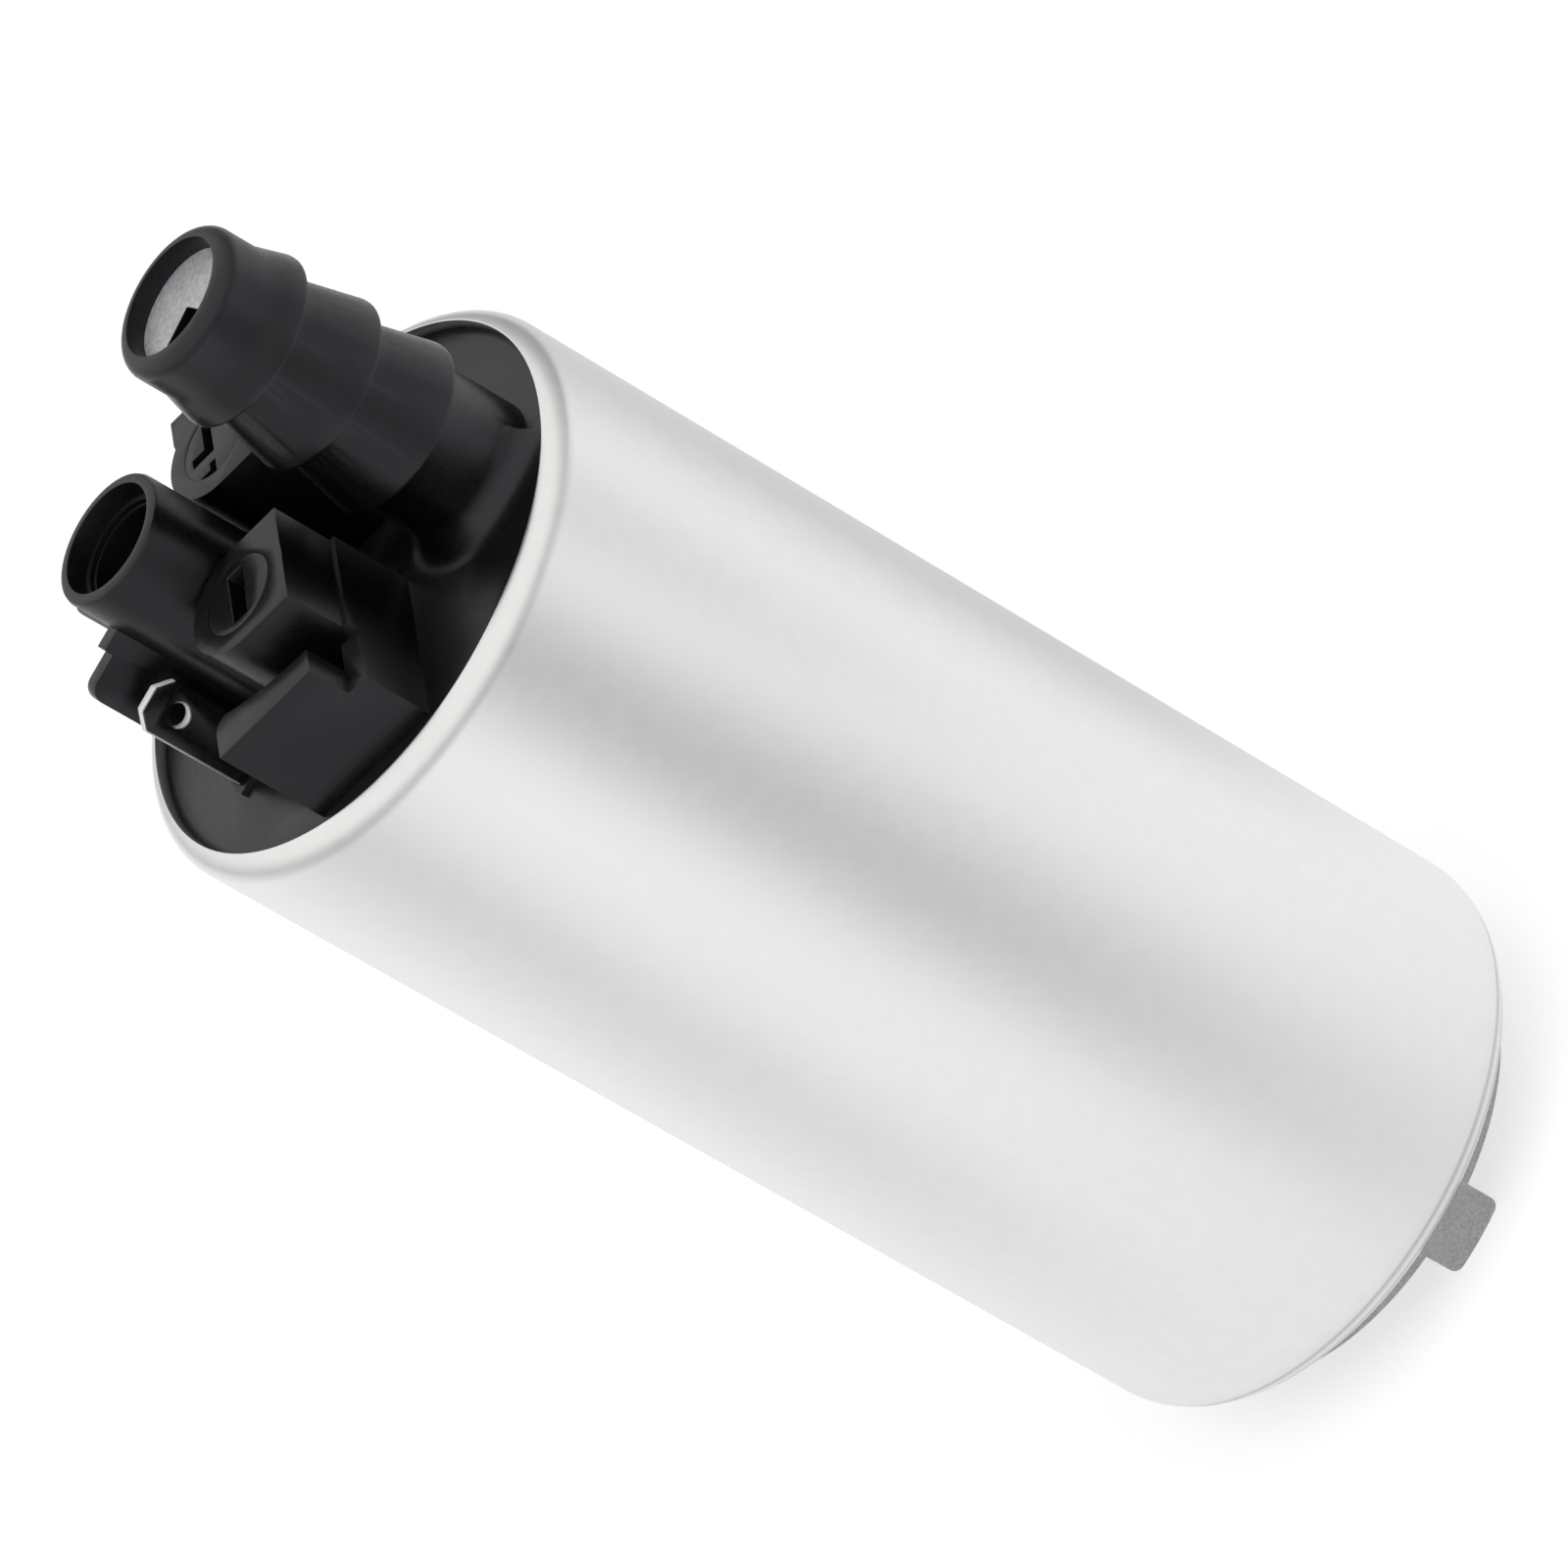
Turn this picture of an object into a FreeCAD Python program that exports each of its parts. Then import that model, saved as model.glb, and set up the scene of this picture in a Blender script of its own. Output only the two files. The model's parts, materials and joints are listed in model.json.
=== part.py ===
# In-tank fuel pump, turbine type, in millimetres.
# Origin: centre of the plane that the inlet lugs stand on. +Z runs up the pump to the outlet.
# The end cover is mirrored about the plane X = 0, and its outlet nipple is on the +Y side.
# Heights named from the rim are measured up from the plane of the can's upper rim.

import FreeCAD, Part
import math
import os

# Can
CAN_R = 21.5
CAN_WALL = 1.0
CAN_LENGTH = 89.75
CAN_SHOULDER_R = 2.0
CAN_CORNER_R = 3.5
RIM_LIP = 1.55
FOOT_LIP = 3.7

# Fits
PRESS_GAP = 0.02
SEAT_GAP = 0.05
RUN_GAP = 0.05

# Springs are wound in chords of a many-sided wire, and hidden rounds are drawn in chords
CHORDS_PER_TURN = 10
WIRE_SIDES = 5
ROUND_CHORDS = 2
OVERCUT = 1.0

# Inlet casting
LUG_HEIGHT = 3.0
LUG_WIDTH = 5.8
LUG_LENGTH = 4.6
LUG_COUNT = 3
LUG_ANGLE = 31.0
LUG_ROUND = 0.7
RING_STANDOUT = 1.65
RING_GAP = 0.24
RING_WIDTH = 2.6
RING_DEPTH = 1.1
CASTING_T = 5.0
INLET_Y = 8.6
INLET_BORE_R = 4.6
INLET_BORE_DEPTH = 4.2
INLET_COLLAR_WALL = 1.5
VENT_R = 0.6
VENT_ANGLE = 205.0
THRUST_PIN_R = 1.5
THRUST_PIN_LENGTH = 3.6
THRUST_GAP = 0.05
HUB_RECESS_R = 2.7
HUB_RECESS_DEPTH = 1.9

# Pump section
IMPELLER_T = 4.0
RING_WALL = 3.6
IMPELLER_TIP_GAP = 0.09
IMPELLER_RIM = 0.8
VANE_COUNT = 36
VANE_LENGTH = 2.6
VANE_THICKNESS = 1.0
HUB_RELIEF_R = 6.0
HUB_RELIEF_DEPTH = 0.4
HUB_LAND = 0.8
CHANNEL_DEPTH = 1.3
CHANNEL_FLOOR = 1.2
CHANNEL_SWEEP = 305.0
CHANNEL_START = 107.0
PLATE_T = 5.0
PLATE_BOSS_R = 6.0
PLATE_BOSS_H = 2.6
INLET_PORT_R = 1.9
PLATE_PORT_R = 1.3
PORT_INSET = 6.0

# Shaft and bushes
SHAFT_R = 2.0
SHAFT_FLAT = 0.6
SHAFT_ABOVE_COMMUTATOR = 10.6
BUSH_WALL = 1.3
LOWER_BUSH_LENGTH = 6.4
UPPER_BUSH_LENGTH = 6.0
BUSH_BOSS_WALL = 1.1
BUSH_ABOVE_COMMUTATOR = 4.0

# Motor
SLEEVE_WALL = 1.2
SLEEVE_GAP = 0.03
MAGNET_T = 3.6
MAGNET_SPAN = 130.0
MAGNET_OVERHANG = 2.0
AIR_GAP = 0.45
CLIP_T = 0.5
SLOT_COUNT = 10
SLOT_DEPTH = 7.2
TOOTH_WIDTH = 3.0
TOOTH_TIP_T = 1.5
SLOT_OPENING = 1.5
SLOT_LINER = 0.25
INSULATOR_T = 0.8
END_TURN_H = 4.5
END_TURN_INSET = 1.2
END_TURN_ROUND = 1.6
PLATE_TO_WINDING = 3.9
WINDING_TO_COMMUTATOR = 1.0

# Commutator and brushes
COMMUTATOR_DEPTH = 22.0
SEGMENT_T = 2.2
HUB_T = 1.8
SEGMENT_GAP = 0.6
SEGMENT_MARGIN = 0.6
BRUSH_R = 2.7
BRUSH_LENGTH = 12.0
BRUSH_GAP = 0.08
BRUSH_LEAD_R = 0.5
BRUSH_TUBE_CLEARANCE = 2.0
BRUSH_SPRING_R = 1.9
BRUSH_SPRING_WIRE = 0.22
BRUSH_SPRING_TURNS = 7
CAP_R = 3.1
CAP_T = 2.4
CAP_SLOT_LENGTH = 4.7
CAP_SLOT_WIDTH = 1.5
CAP_STEP_WIDTH = 0.9
CAP_SLOT_DEPTH = 1.5
CAP_SLOT_OFFSET = 0.63
CAP_LEG_X = 0.45
CAP_NOTCH_START = 1.75
CAP_NOTCH_END = 3.05
CAP_NOTCH_WIDTH = 0.6
CAP_NOTCH_DROP = 1.8

# End cover, heights measured from the rim plane
COVER_T = 3.0
SKIRT_DEPTH = 18.0
SKIRT_WALL = 2.0
SEAL_DEPTH = 6.0
SEAL_SIZE = 1.7
TOWER_X = 8.1
TOWER_R = 4.55
TOWER_TOP = 10.36
TOWER_FLAT_Y = 4.5
TOWER_BASE_Y = 4.94
TOWER_BASE_TOP = 5.5
WEB_TOP = 4.6
WEB_T = 1.8
GUARD_INSET = 4.0
GUARD_T = 2.2
GUARD_TOP = 8.0
GUARD_Y_MAX = 3.2
GUARD_Y_MIN = -6.1
GUARD_BULGE = 1.25
GUARD_BOW = 0.28
GUARD_END_R = 1.1

# Outlet nipple
NIPPLE_INSET = 9.14
NIPPLE_TOP = 25.5
NIPPLE_NECK_R = 5.73
NIPPLE_NECK_LENGTH = 3.72
NIPPLE_LIP_ROUND = 1.2
NIPPLE_FOOT_R = 5.45
NIPPLE_BORE_R = 4.45
BARB_R = 6.41
BARB_ROOT_R = 5.1
BARB_COUNT = 3
BARB_TOP = 19.21
BARB_PITCH = 6.42
BARB_LAND = 0.25
FLARE_R = 2.3
FLARE_START = -75.0
FLARE_END = 76.0

# Check valve in the nipple
VALVE_CHAMBER_R = 4.0
VALVE_SEAT_TOP = 3.6
VALVE_SEAT_R = 2.4
VALVE_HEAD_R = 3.3
VALVE_HEAD_T = 1.4
VALVE_CONE_H = 1.0
VALVE_STEM_R = 0.9
VALVE_STEM_IN_GUIDE = 1.4
VALVE_SPRING_R = 2.6
VALVE_SPRING_WIRE = 0.25
VALVE_SPRING_TURNS = 6
RETAINER_DEPTH = 1.5
RETAINER_T = 1.6
RETAINER_GUIDE_WALL = 0.9
RETAINER_GUIDE_H = 6.0
WINDOW_R = 3.5
WINDOW_ANGLE = -52.0
SMALL_WINDOW_EDGE = 2.0
SMALL_WINDOW_SIDE = 1.0

# Small tube with its relief valve
TUBE_Y = -6.1
TUBE_R = 5.03
TUBE_TOP = 15.7
TUBE_MOUTH_R = 4.18
TUBE_MOUTH_DEPTH = 1.7
TUBE_STEP_R = 3.8
TUBE_STEP_DEPTH = 0.4
TUBE_BORE_R = 3.6
TUBE_ROUND = 0.4
RELIEF_SEAT_TOP = 1.2
RELIEF_HOLE_R = 1.3
RELIEF_BALL_R = 2.0
RELIEF_SPRING_R = 1.5
RELIEF_SPRING_WIRE = 0.2
RELIEF_SPRING_TURNS = 4
RELIEF_RETAINER_TOP = 10.6
RELIEF_RETAINER_T = 1.6
RELIEF_RETAINER_HOLE_R = 1.1

# Guard fins beside the terminals
FIN_ANGLE = -60.0
FIN_T = 1.2
FIN_TOP = 11.86
FIN_STEP = 0.7
FIN_STEP_REACH = 6.6
FIN_REACH = 9.75
FIN_ROUND = 1.1

# Terminals and chokes
BLADE_ANGLE = -60.0
BLADE_T = 0.8
BLADE_INSET = 8.3
BLADE_WIDTH = 4.0
BLADE_TOP = 8.66
BLADE_CHAMFER = 1.1
BLADE_HOLE_R = 0.88
BLADE_HOLE_TOP = 6.1
BLADE_TAIL = 4.4
FOOT_COLLAR_H = 0.4
FOOT_COLLAR_MARGIN = 0.9
CHOKE_ANGLE = -38.0
CHOKE_INSET = 6.3
CHOKE_ROD_R = 1.6
CHOKE_ROD_LENGTH = 13.0
CHOKE_WIRE_R = 0.45
CHOKE_TURNS = 9
CHOKE_LEAD_GAP = 0.15
CHOKE_SOCKET_WALL = 0.9
CHOKE_SOCKET_DEPTH = 2.6

# Places along the pump
CAN_BOTTOM = LUG_HEIGHT + RING_STANDOUT
RIM = CAN_BOTTOM + CAN_LENGTH
CAN_BORE_R = CAN_R - CAN_WALL
RIM_OPENING_R = CAN_R - RIM_LIP
INLET_OPENING_R = CAN_R - FOOT_LIP
NIPPLE_Y = CAN_R - NIPPLE_INSET
GUARD_X = CAN_R - GUARD_INSET
BLADE_MID_R = CAN_R - BLADE_INSET
CHOKE_MID_R = CAN_R - CHOKE_INSET
CASTING_SEAT = CAN_BOTTOM + CAN_WALL
CASTING_TOP = CASTING_SEAT + CASTING_T
RING_TOP = CASTING_TOP + IMPELLER_T + 2 * RUN_GAP
PLATE_TOP = RING_TOP + PLATE_T
COVER_TOP = RIM - CAN_WALL
COVER_UNDER = COVER_TOP - COVER_T
SKIRT_BOTTOM = COVER_TOP - SKIRT_DEPTH
COMMUTATOR_FACE = COVER_TOP - COMMUTATOR_DEPTH
COMMUTATOR_BACK = COMMUTATOR_FACE - SEGMENT_T - HUB_T
CORE_TOP = COMMUTATOR_BACK - WINDING_TO_COMMUTATOR - END_TURN_H - INSULATOR_T
CORE_BOTTOM = PLATE_TOP + PLATE_TO_WINDING + END_TURN_H + INSULATOR_T
THRUST_Z = CASTING_TOP - HUB_RECESS_DEPTH

# Radii that follow from the stack of parts in the can
INSERT_R = CAN_BORE_R - SEAT_GAP
SLEEVE_R = CAN_BORE_R - SLEEVE_GAP
MAGNET_R = SLEEVE_R - SLEEVE_WALL - PRESS_GAP
MAGNET_BORE_R = MAGNET_R - MAGNET_T
CORE_R = MAGNET_BORE_R - AIR_GAP
CORE_HUB_R = CORE_R - TOOTH_TIP_T - SLOT_DEPTH
CHAMBER_R = INSERT_R - RING_WALL
IMPELLER_R = CHAMBER_R - IMPELLER_TIP_GAP
VANE_OUTER_R = IMPELLER_R - IMPELLER_RIM
VANE_INNER_R = VANE_OUTER_R - VANE_LENGTH
CHANNEL_MID_R = (VANE_INNER_R + VANE_OUTER_R) / 2
BUSH_R = SHAFT_R + RUN_GAP / 2 + BUSH_WALL
BUSH_BOSS_R = BUSH_R + BUSH_BOSS_WALL
BRUSH_BORE_R = BRUSH_R + BRUSH_GAP
SKIRT_BORE_R = INSERT_R - SKIRT_WALL
UP = FreeCAD.Vector(0, 0, 1)


def at(x, y, z):
    return FreeCAD.Vector(x, y, z)


def polar(radius, degrees, z=0.0):
    turn = math.radians(degrees)
    return at(radius * math.cos(turn), radius * math.sin(turn), z)


def rod(radius, z_low, z_high, x=0.0, y=0.0):
    return Part.makeCylinder(radius, z_high - z_low, at(x, y, z_low), UP)


def tube(outer, inner, z_low, z_high, x=0.0, y=0.0):
    return rod(outer, z_low, z_high, x, y).cut(rod(inner, z_low, z_high, x, y))


def block(x_low, x_high, y_low, y_high, z_low, z_high):
    return Part.makeBox(x_high - x_low, y_high - y_low, z_high - z_low, at(x_low, y_low, z_low))


def line(start, end):
    return Part.makeLine(start, end)


def arc(start, middle, end):
    return Part.Arc(start, middle, end).toShape()


def corner_arc(centre, radius, start_degrees, end_degrees):
    # An arc in the XZ plane, by the angles of its two ends from +X.
    points = []
    for degrees in (start_degrees, (start_degrees + end_degrees) / 2, end_degrees):
        turn = math.radians(degrees)
        points.append(centre + at(radius * math.cos(turn), 0, radius * math.sin(turn)))
    return arc(*points)


def joined(edges):
    # Closes a list of edges into a face; each gap between neighbours becomes a straight edge.
    closed = []
    for i, edge in enumerate(edges):
        closed.append(edge)
        end = edge.Vertexes[-1].Point
        start = edges[(i + 1) % len(edges)].Vertexes[0].Point
        if end.distanceToPoint(start) > 1e-6:
            closed.append(line(end, start))
    return Part.Face(Part.Wire(Part.__sortEdges__(closed)))


def chords(centre, radius, start_degrees, end_degrees):
    # A hidden round in the XZ plane, drawn as a few straight edges.
    step = (end_degrees - start_degrees) / ROUND_CHORDS
    spots = []
    for i in range(ROUND_CHORDS + 1):
        turn = math.radians(start_degrees + step * i)
        spots.append(centre + at(radius * math.cos(turn), 0, radius * math.sin(turn)))
    return [line(spots[i], spots[i + 1]) for i in range(ROUND_CHORDS)]


def polygon(points):
    return Part.Face(Part.makePolygon(list(points) + [points[0]]))


def turned(face, degrees=360.0, x=0.0, y=0.0):
    # Revolves a face drawn in the XZ plane about the Z axis and sets it at (x, y).
    solid = face.revolve(at(0, 0, 0), UP, degrees)
    solid.translate(at(x, y, 0))
    return solid


def rotated(shape, degrees, x=0.0, y=0.0):
    copy = shape.copy()
    copy.rotate(at(x, y, 0), UP, degrees)
    return copy


def mirrored(shape):
    return shape.mirror(at(0, 0, 0), at(1, 0, 0))


def prism(face, height):
    return face.extrude(at(0, 0, height))


def sector(radius, start_degrees, sweep, z_low, z_high):
    # A wedge of a cylinder about the Z axis.
    wedge = Part.makeCylinder(radius, z_high - z_low, at(0, 0, z_low), UP, sweep)
    return rotated(wedge, start_degrees)


def coil(radius, wire, z_low, z_high, turns, x=0.0, y=0.0):
    # An open spring whose wire just reaches the two planes, wound in short straight chords.
    rise = z_high - z_low - 2 * wire
    count = turns * CHORDS_PER_TURN
    path = [polar(radius, 360.0 * i / CHORDS_PER_TURN, rise * i / count) for i in range(count + 1)]
    first = path[1] - path[0]
    side = at(1, 0, 0)
    lift = first.cross(side)
    lift.normalize()
    rim = []
    for i in range(WIRE_SIDES):
        turn = 2 * math.pi * i / WIRE_SIDES
        rim.append(path[0] + side * (wire * math.cos(turn)) + lift * (wire * math.sin(turn)))
    section = Part.makePolygon(rim + rim[:1])
    solid = Part.makePolygon(path).makePipeShell([section], True, False, 1)
    solid.translate(at(x, y, z_low + wire))
    return solid


def save(name, shape):
    solids = shape.Solids
    if not shape.isValid() or not solids:
        raise ValueError(name + " is not a valid solid")
    kept = solids[0] if len(solids) == 1 else Part.makeCompound(solids)
    kept.exportStep("parts/" + name + ".step")


# Can


def make_can():
    top_centre = at(CAN_R - CAN_SHOULDER_R, 0, RIM - CAN_SHOULDER_R)
    low_centre = at(CAN_R - CAN_CORNER_R, 0, CAN_BOTTOM + CAN_CORNER_R)
    lip_r = RIM_OPENING_R - CAN_WALL
    foot_r = INLET_OPENING_R - CAN_WALL
    outline = [
        line(at(foot_r, 0, CAN_BOTTOM), at(low_centre.x, 0, CAN_BOTTOM)),
        corner_arc(low_centre, CAN_CORNER_R, -90, 0),
        corner_arc(top_centre, CAN_SHOULDER_R, 0, 90),
        line(at(lip_r, 0, RIM), at(lip_r, 0, COVER_TOP)),
        *chords(top_centre, CAN_SHOULDER_R - CAN_WALL, 90, 0),
        *chords(low_centre, CAN_CORNER_R - CAN_WALL, 0, -90),
        line(at(low_centre.x, 0, CASTING_SEAT), at(foot_r, 0, CASTING_SEAT)),
    ]
    shell = turned(joined(outline))
    shell = shell.cut(rod(RIM_OPENING_R, COVER_TOP - CAN_WALL, RIM))
    return shell.cut(rod(INLET_OPENING_R, CAN_BOTTOM, CASTING_SEAT + CAN_WALL))


# Inlet end


def inlet_port_z():
    return LUG_HEIGHT + INLET_BORE_DEPTH


def make_inlet_cover():
    corner = CAN_CORNER_R - CAN_WALL + SEAT_GAP
    ring_r = INLET_OPENING_R - RING_GAP
    outline = [
        line(at(0, 0, LUG_HEIGHT), at(ring_r, 0, LUG_HEIGHT)),
        line(at(ring_r, 0, CASTING_SEAT), at(INSERT_R - corner, 0, CASTING_SEAT)),
        *chords(at(INSERT_R - corner, 0, CASTING_SEAT + corner), corner, -90, 0),
        line(at(INSERT_R, 0, CASTING_TOP), at(0, 0, CASTING_TOP)),
    ]
    body = turned(joined(outline))
    pan = rod(ring_r - RING_WIDTH, LUG_HEIGHT, LUG_HEIGHT + RING_DEPTH)
    pan = pan.cut(rod(INLET_BORE_R + INLET_COLLAR_WALL, LUG_HEIGHT, LUG_HEIGHT + RING_DEPTH, 0, INLET_Y))
    body = body.cut(pan.cut(rod(HUB_RELIEF_R / 2, LUG_HEIGHT, LUG_HEIGHT + RING_DEPTH)))
    body = body.cut(rod(INLET_BORE_R, LUG_HEIGHT, inlet_port_z(), 0, INLET_Y))
    body = body.cut(rod(THRUST_PIN_R, THRUST_Z - THRUST_PIN_LENGTH, CASTING_TOP))
    body = body.cut(rod(HUB_RECESS_R, THRUST_Z, CASTING_TOP))
    body = body.cut(channel_cut(CASTING_TOP, -1))
    body = body.cut(inlet_port(inlet_port_z(), CASTING_TOP))
    vent = polar(CHANNEL_MID_R, VENT_ANGLE)
    body = body.cut(rod(VENT_R, LUG_HEIGHT, CASTING_TOP, vent.x, vent.y))
    lug = lug_shape(ring_r)
    for i in range(LUG_COUNT):
        body = body.fuse(rotated(lug, LUG_ANGLE + 360.0 * i / LUG_COUNT))
    return body.removeSplitter()


def lug_shape(outer_r):
    # A stub foot, rounded along its two lower side edges, whose outer face follows the ring.
    half = LUG_WIDTH / 2
    stub = block(outer_r - LUG_LENGTH, outer_r + half, -half, half, 0, LUG_HEIGHT + RING_DEPTH)
    lower = [edge for edge in stub.Edges if is_lower_side(edge, half)]
    return stub.makeFillet(LUG_ROUND, lower).common(rod(outer_r, 0, LUG_HEIGHT + RING_DEPTH))


def is_lower_side(edge, half):
    middle = edge.CenterOfMass
    return abs(abs(middle.y) - half) < 1e-6 and abs(middle.z) < 1e-6


def channel_cut(face_z, side):
    # The fuel channel beside the vanes: a groove with sloped sides that stops short at the stripper.
    mouth = at(VANE_LENGTH / 2, 0, 0)
    floor = at(CHANNEL_FLOOR / 2, 0, 0)
    middle = at(CHANNEL_MID_R, 0, face_z)
    deep = middle + at(0, 0, side * CHANNEL_DEPTH)
    face = polygon([middle - mouth, middle + mouth, deep + floor, deep - floor])
    return rotated(turned(face, CHANNEL_SWEEP), CHANNEL_START)


def inlet_port(z_low, z_high):
    # An oblong port from the inlet bore out to the start of the channel.
    inner = at(0, INLET_Y, 0)
    outer = polar(CHANNEL_MID_R, CHANNEL_START + PORT_INSET)
    span = outer - inner
    across = at(-span.y, span.x, 0)
    across.normalize()
    across.multiply(INLET_PORT_R)
    corners = [inner + across, inner - across, outer - across, outer + across]
    slot = Part.Face(Part.makePolygon([c + at(0, 0, z_low) for c in corners + corners[:1]]))
    cut = prism(slot, z_high - z_low)
    for spot in (inner, outer):
        cut = cut.fuse(rod(INLET_PORT_R, z_low, z_high, spot.x, spot.y))
    return cut


def make_thrust_pin():
    return rod(THRUST_PIN_R - PRESS_GAP, THRUST_Z - THRUST_PIN_LENGTH, THRUST_Z)


# Pump section


def make_chamber_ring():
    return tube(INSERT_R, CHAMBER_R, CASTING_TOP, RING_TOP)


def make_impeller():
    low = CASTING_TOP + RUN_GAP
    high = low + IMPELLER_T
    wheel = rod(IMPELLER_R, low, high)
    step = 360.0 / VANE_COUNT
    half_gap = math.pi * CHANNEL_MID_R / VANE_COUNT - VANE_THICKNESS / 2
    outward = [at(VANE_INNER_R, -half_gap, low), at(VANE_OUTER_R, -half_gap, low)]
    back = [at(VANE_OUTER_R, half_gap, low), at(VANE_INNER_R, half_gap, low)]
    pocket = prism(polygon(outward + back), IMPELLER_T)
    wheel = wheel.cut(Part.makeCompound([rotated(pocket, step * i) for i in range(VANE_COUNT)]))
    relief = tube(HUB_RELIEF_R, SHAFT_R + HUB_LAND, low, low + HUB_RELIEF_DEPTH)
    wheel = wheel.cut(relief)
    relief.translate(at(0, 0, IMPELLER_T - HUB_RELIEF_DEPTH))
    return wheel.cut(relief).cut(flatted_rod(SHAFT_R + PRESS_GAP, low, high))


def flatted_rod(radius, z_low, z_high):
    # A rod with one drive flat on its +X side.
    flat_x = radius - SHAFT_FLAT
    return rod(radius, z_low, z_high).cut(block(flat_x, radius + OVERCUT, -radius, radius, z_low, z_high))


def make_pump_plate():
    boss = rod(PLATE_BOSS_R, PLATE_TOP, PLATE_TOP + PLATE_BOSS_H)
    plate = rod(INSERT_R, RING_TOP, PLATE_TOP).fuse(boss)
    plate = plate.cut(channel_cut(RING_TOP, 1))
    plate = plate.cut(rod(BUSH_R + PRESS_GAP, lower_bush_z(), PLATE_TOP + PLATE_BOSS_H))
    plate = plate.cut(rod(SHAFT_R + RUN_GAP * 4, RING_TOP, lower_bush_z()))
    port = polar(CHANNEL_MID_R, CHANNEL_START + CHANNEL_SWEEP - PORT_INSET)
    plate = plate.cut(rod(PLATE_PORT_R, RING_TOP, PLATE_TOP, port.x, port.y))
    return plate.removeSplitter()


def lower_bush_z():
    return PLATE_TOP + PLATE_BOSS_H - LOWER_BUSH_LENGTH


def make_bush(z_low, length):
    return tube(BUSH_R, SHAFT_R + RUN_GAP / 2, z_low, z_low + length)


def make_shaft():
    drive_top = RING_TOP
    drive = flatted_rod(SHAFT_R, THRUST_Z + THRUST_GAP, drive_top)
    journal = rod(SHAFT_R, drive_top, COMMUTATOR_FACE + SHAFT_ABOVE_COMMUTATOR)
    return drive.fuse(journal)


# Motor


def make_flux_sleeve():
    return tube(SLEEVE_R, SLEEVE_R - SLEEVE_WALL, PLATE_TOP, SKIRT_BOTTOM)


def make_magnet():
    low = CORE_BOTTOM - MAGNET_OVERHANG
    high = CORE_TOP + MAGNET_OVERHANG
    arch = sector(MAGNET_R, -MAGNET_SPAN / 2, MAGNET_SPAN, low, high)
    return arch.cut(rod(MAGNET_BORE_R, low, high))


def make_magnet_clip():
    # A bowed leaf between the two magnets, its crown on the sleeve and its ends on the magnets.
    edge_angle = MAGNET_SPAN / 2
    seat = polar((MAGNET_R + MAGNET_BORE_R) / 2, edge_angle)
    half_chord = seat.x - PRESS_GAP
    crown_y = MAGNET_R
    rise = crown_y - seat.y
    bow_r = (half_chord ** 2 + rise ** 2) / (2 * rise)
    centre = at(0, crown_y - bow_r, 0)
    inner_half = half_chord * (bow_r - CLIP_T) / bow_r
    inner_y = centre.y + (seat.y - centre.y) * (bow_r - CLIP_T) / bow_r
    outer = arc(at(half_chord, seat.y, 0), at(0, crown_y, 0), at(-half_chord, seat.y, 0))
    inner = arc(at(-inner_half, inner_y, 0), at(0, crown_y - CLIP_T, 0), at(inner_half, inner_y, 0))
    leaf = prism(joined([outer, inner]), CORE_TOP - CORE_BOTTOM)
    leaf.translate(at(0, 0, CORE_BOTTOM))
    return leaf


def lamination(z_low, z_high):
    # The toothed section of the armature between two heights.
    stack = rod(CORE_HUB_R, z_low, z_high)
    rim = tube(CORE_R, CORE_R - TOOTH_TIP_T, z_low, z_high)
    pitch = 360.0 / SLOT_COUNT
    reach = CORE_R - TOOTH_TIP_T / 2
    tooth = block(0, reach, -TOOTH_WIDTH / 2, TOOTH_WIDTH / 2, z_low, z_high)
    mouth = block(reach - TOOTH_TIP_T, CORE_R + OVERCUT, -SLOT_OPENING / 2, SLOT_OPENING / 2, z_low, z_high)
    mouths = [rotated(mouth, pitch * (i + 0.5)) for i in range(SLOT_COUNT)]
    teeth = [rotated(tooth, pitch * i) for i in range(SLOT_COUNT)]
    stack = stack.multiFuse([rim.cut(Part.makeCompound(mouths))] + teeth)
    return stack.cut(rod(SHAFT_R + PRESS_GAP, z_low, z_high)).removeSplitter()


def make_winding():
    pitch = 180.0 / SLOT_COUNT
    half_tooth = TOOTH_WIDTH / 2 + SLOT_LINER
    inner_r = CORE_HUB_R + SLOT_LINER
    outer_r = CORE_R - TOOTH_TIP_T - SLOT_LINER
    low = CORE_BOTTOM - INSULATOR_T
    high = CORE_TOP + INSULATOR_T
    wedge = sector(outer_r, -pitch, 2 * pitch, low, high).cut(rod(inner_r, low, high))
    side = block(0, CORE_R, -CORE_R, half_tooth, low, high)
    bar = wedge.cut(rotated(side, -pitch)).cut(rotated(mirror_y(side), pitch))
    winding = end_turns(low, -END_TURN_H).fuse(end_turns(high, END_TURN_H))
    bars = [rotated(bar, pitch * (2 * i + 1)) for i in range(SLOT_COUNT)]
    return winding.multiFuse(bars).removeSplitter()


def mirror_y(shape):
    return shape.mirror(at(0, 0, 0), at(0, 1, 0))


def end_turns(face_z, height):
    # The bundle of wire over one end of the core, bevelled on its free side.
    inner_r = SHAFT_R + BUSH_WALL + END_TURN_INSET
    outer_r = CORE_R - END_TURN_INSET
    shoulder = face_z + height - math.copysign(END_TURN_ROUND, height)
    free_z = face_z + height
    outside = [at(outer_r, 0, face_z), at(outer_r, 0, shoulder), at(outer_r - END_TURN_ROUND, 0, free_z)]
    inside = [at(inner_r + END_TURN_ROUND, 0, free_z), at(inner_r, 0, shoulder), at(inner_r, 0, face_z)]
    return turned(polygon(outside + inside))


def commutator_radii():
    reach = BRUSH_R + SEGMENT_MARGIN
    return TOWER_X + reach, TOWER_X - reach


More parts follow.
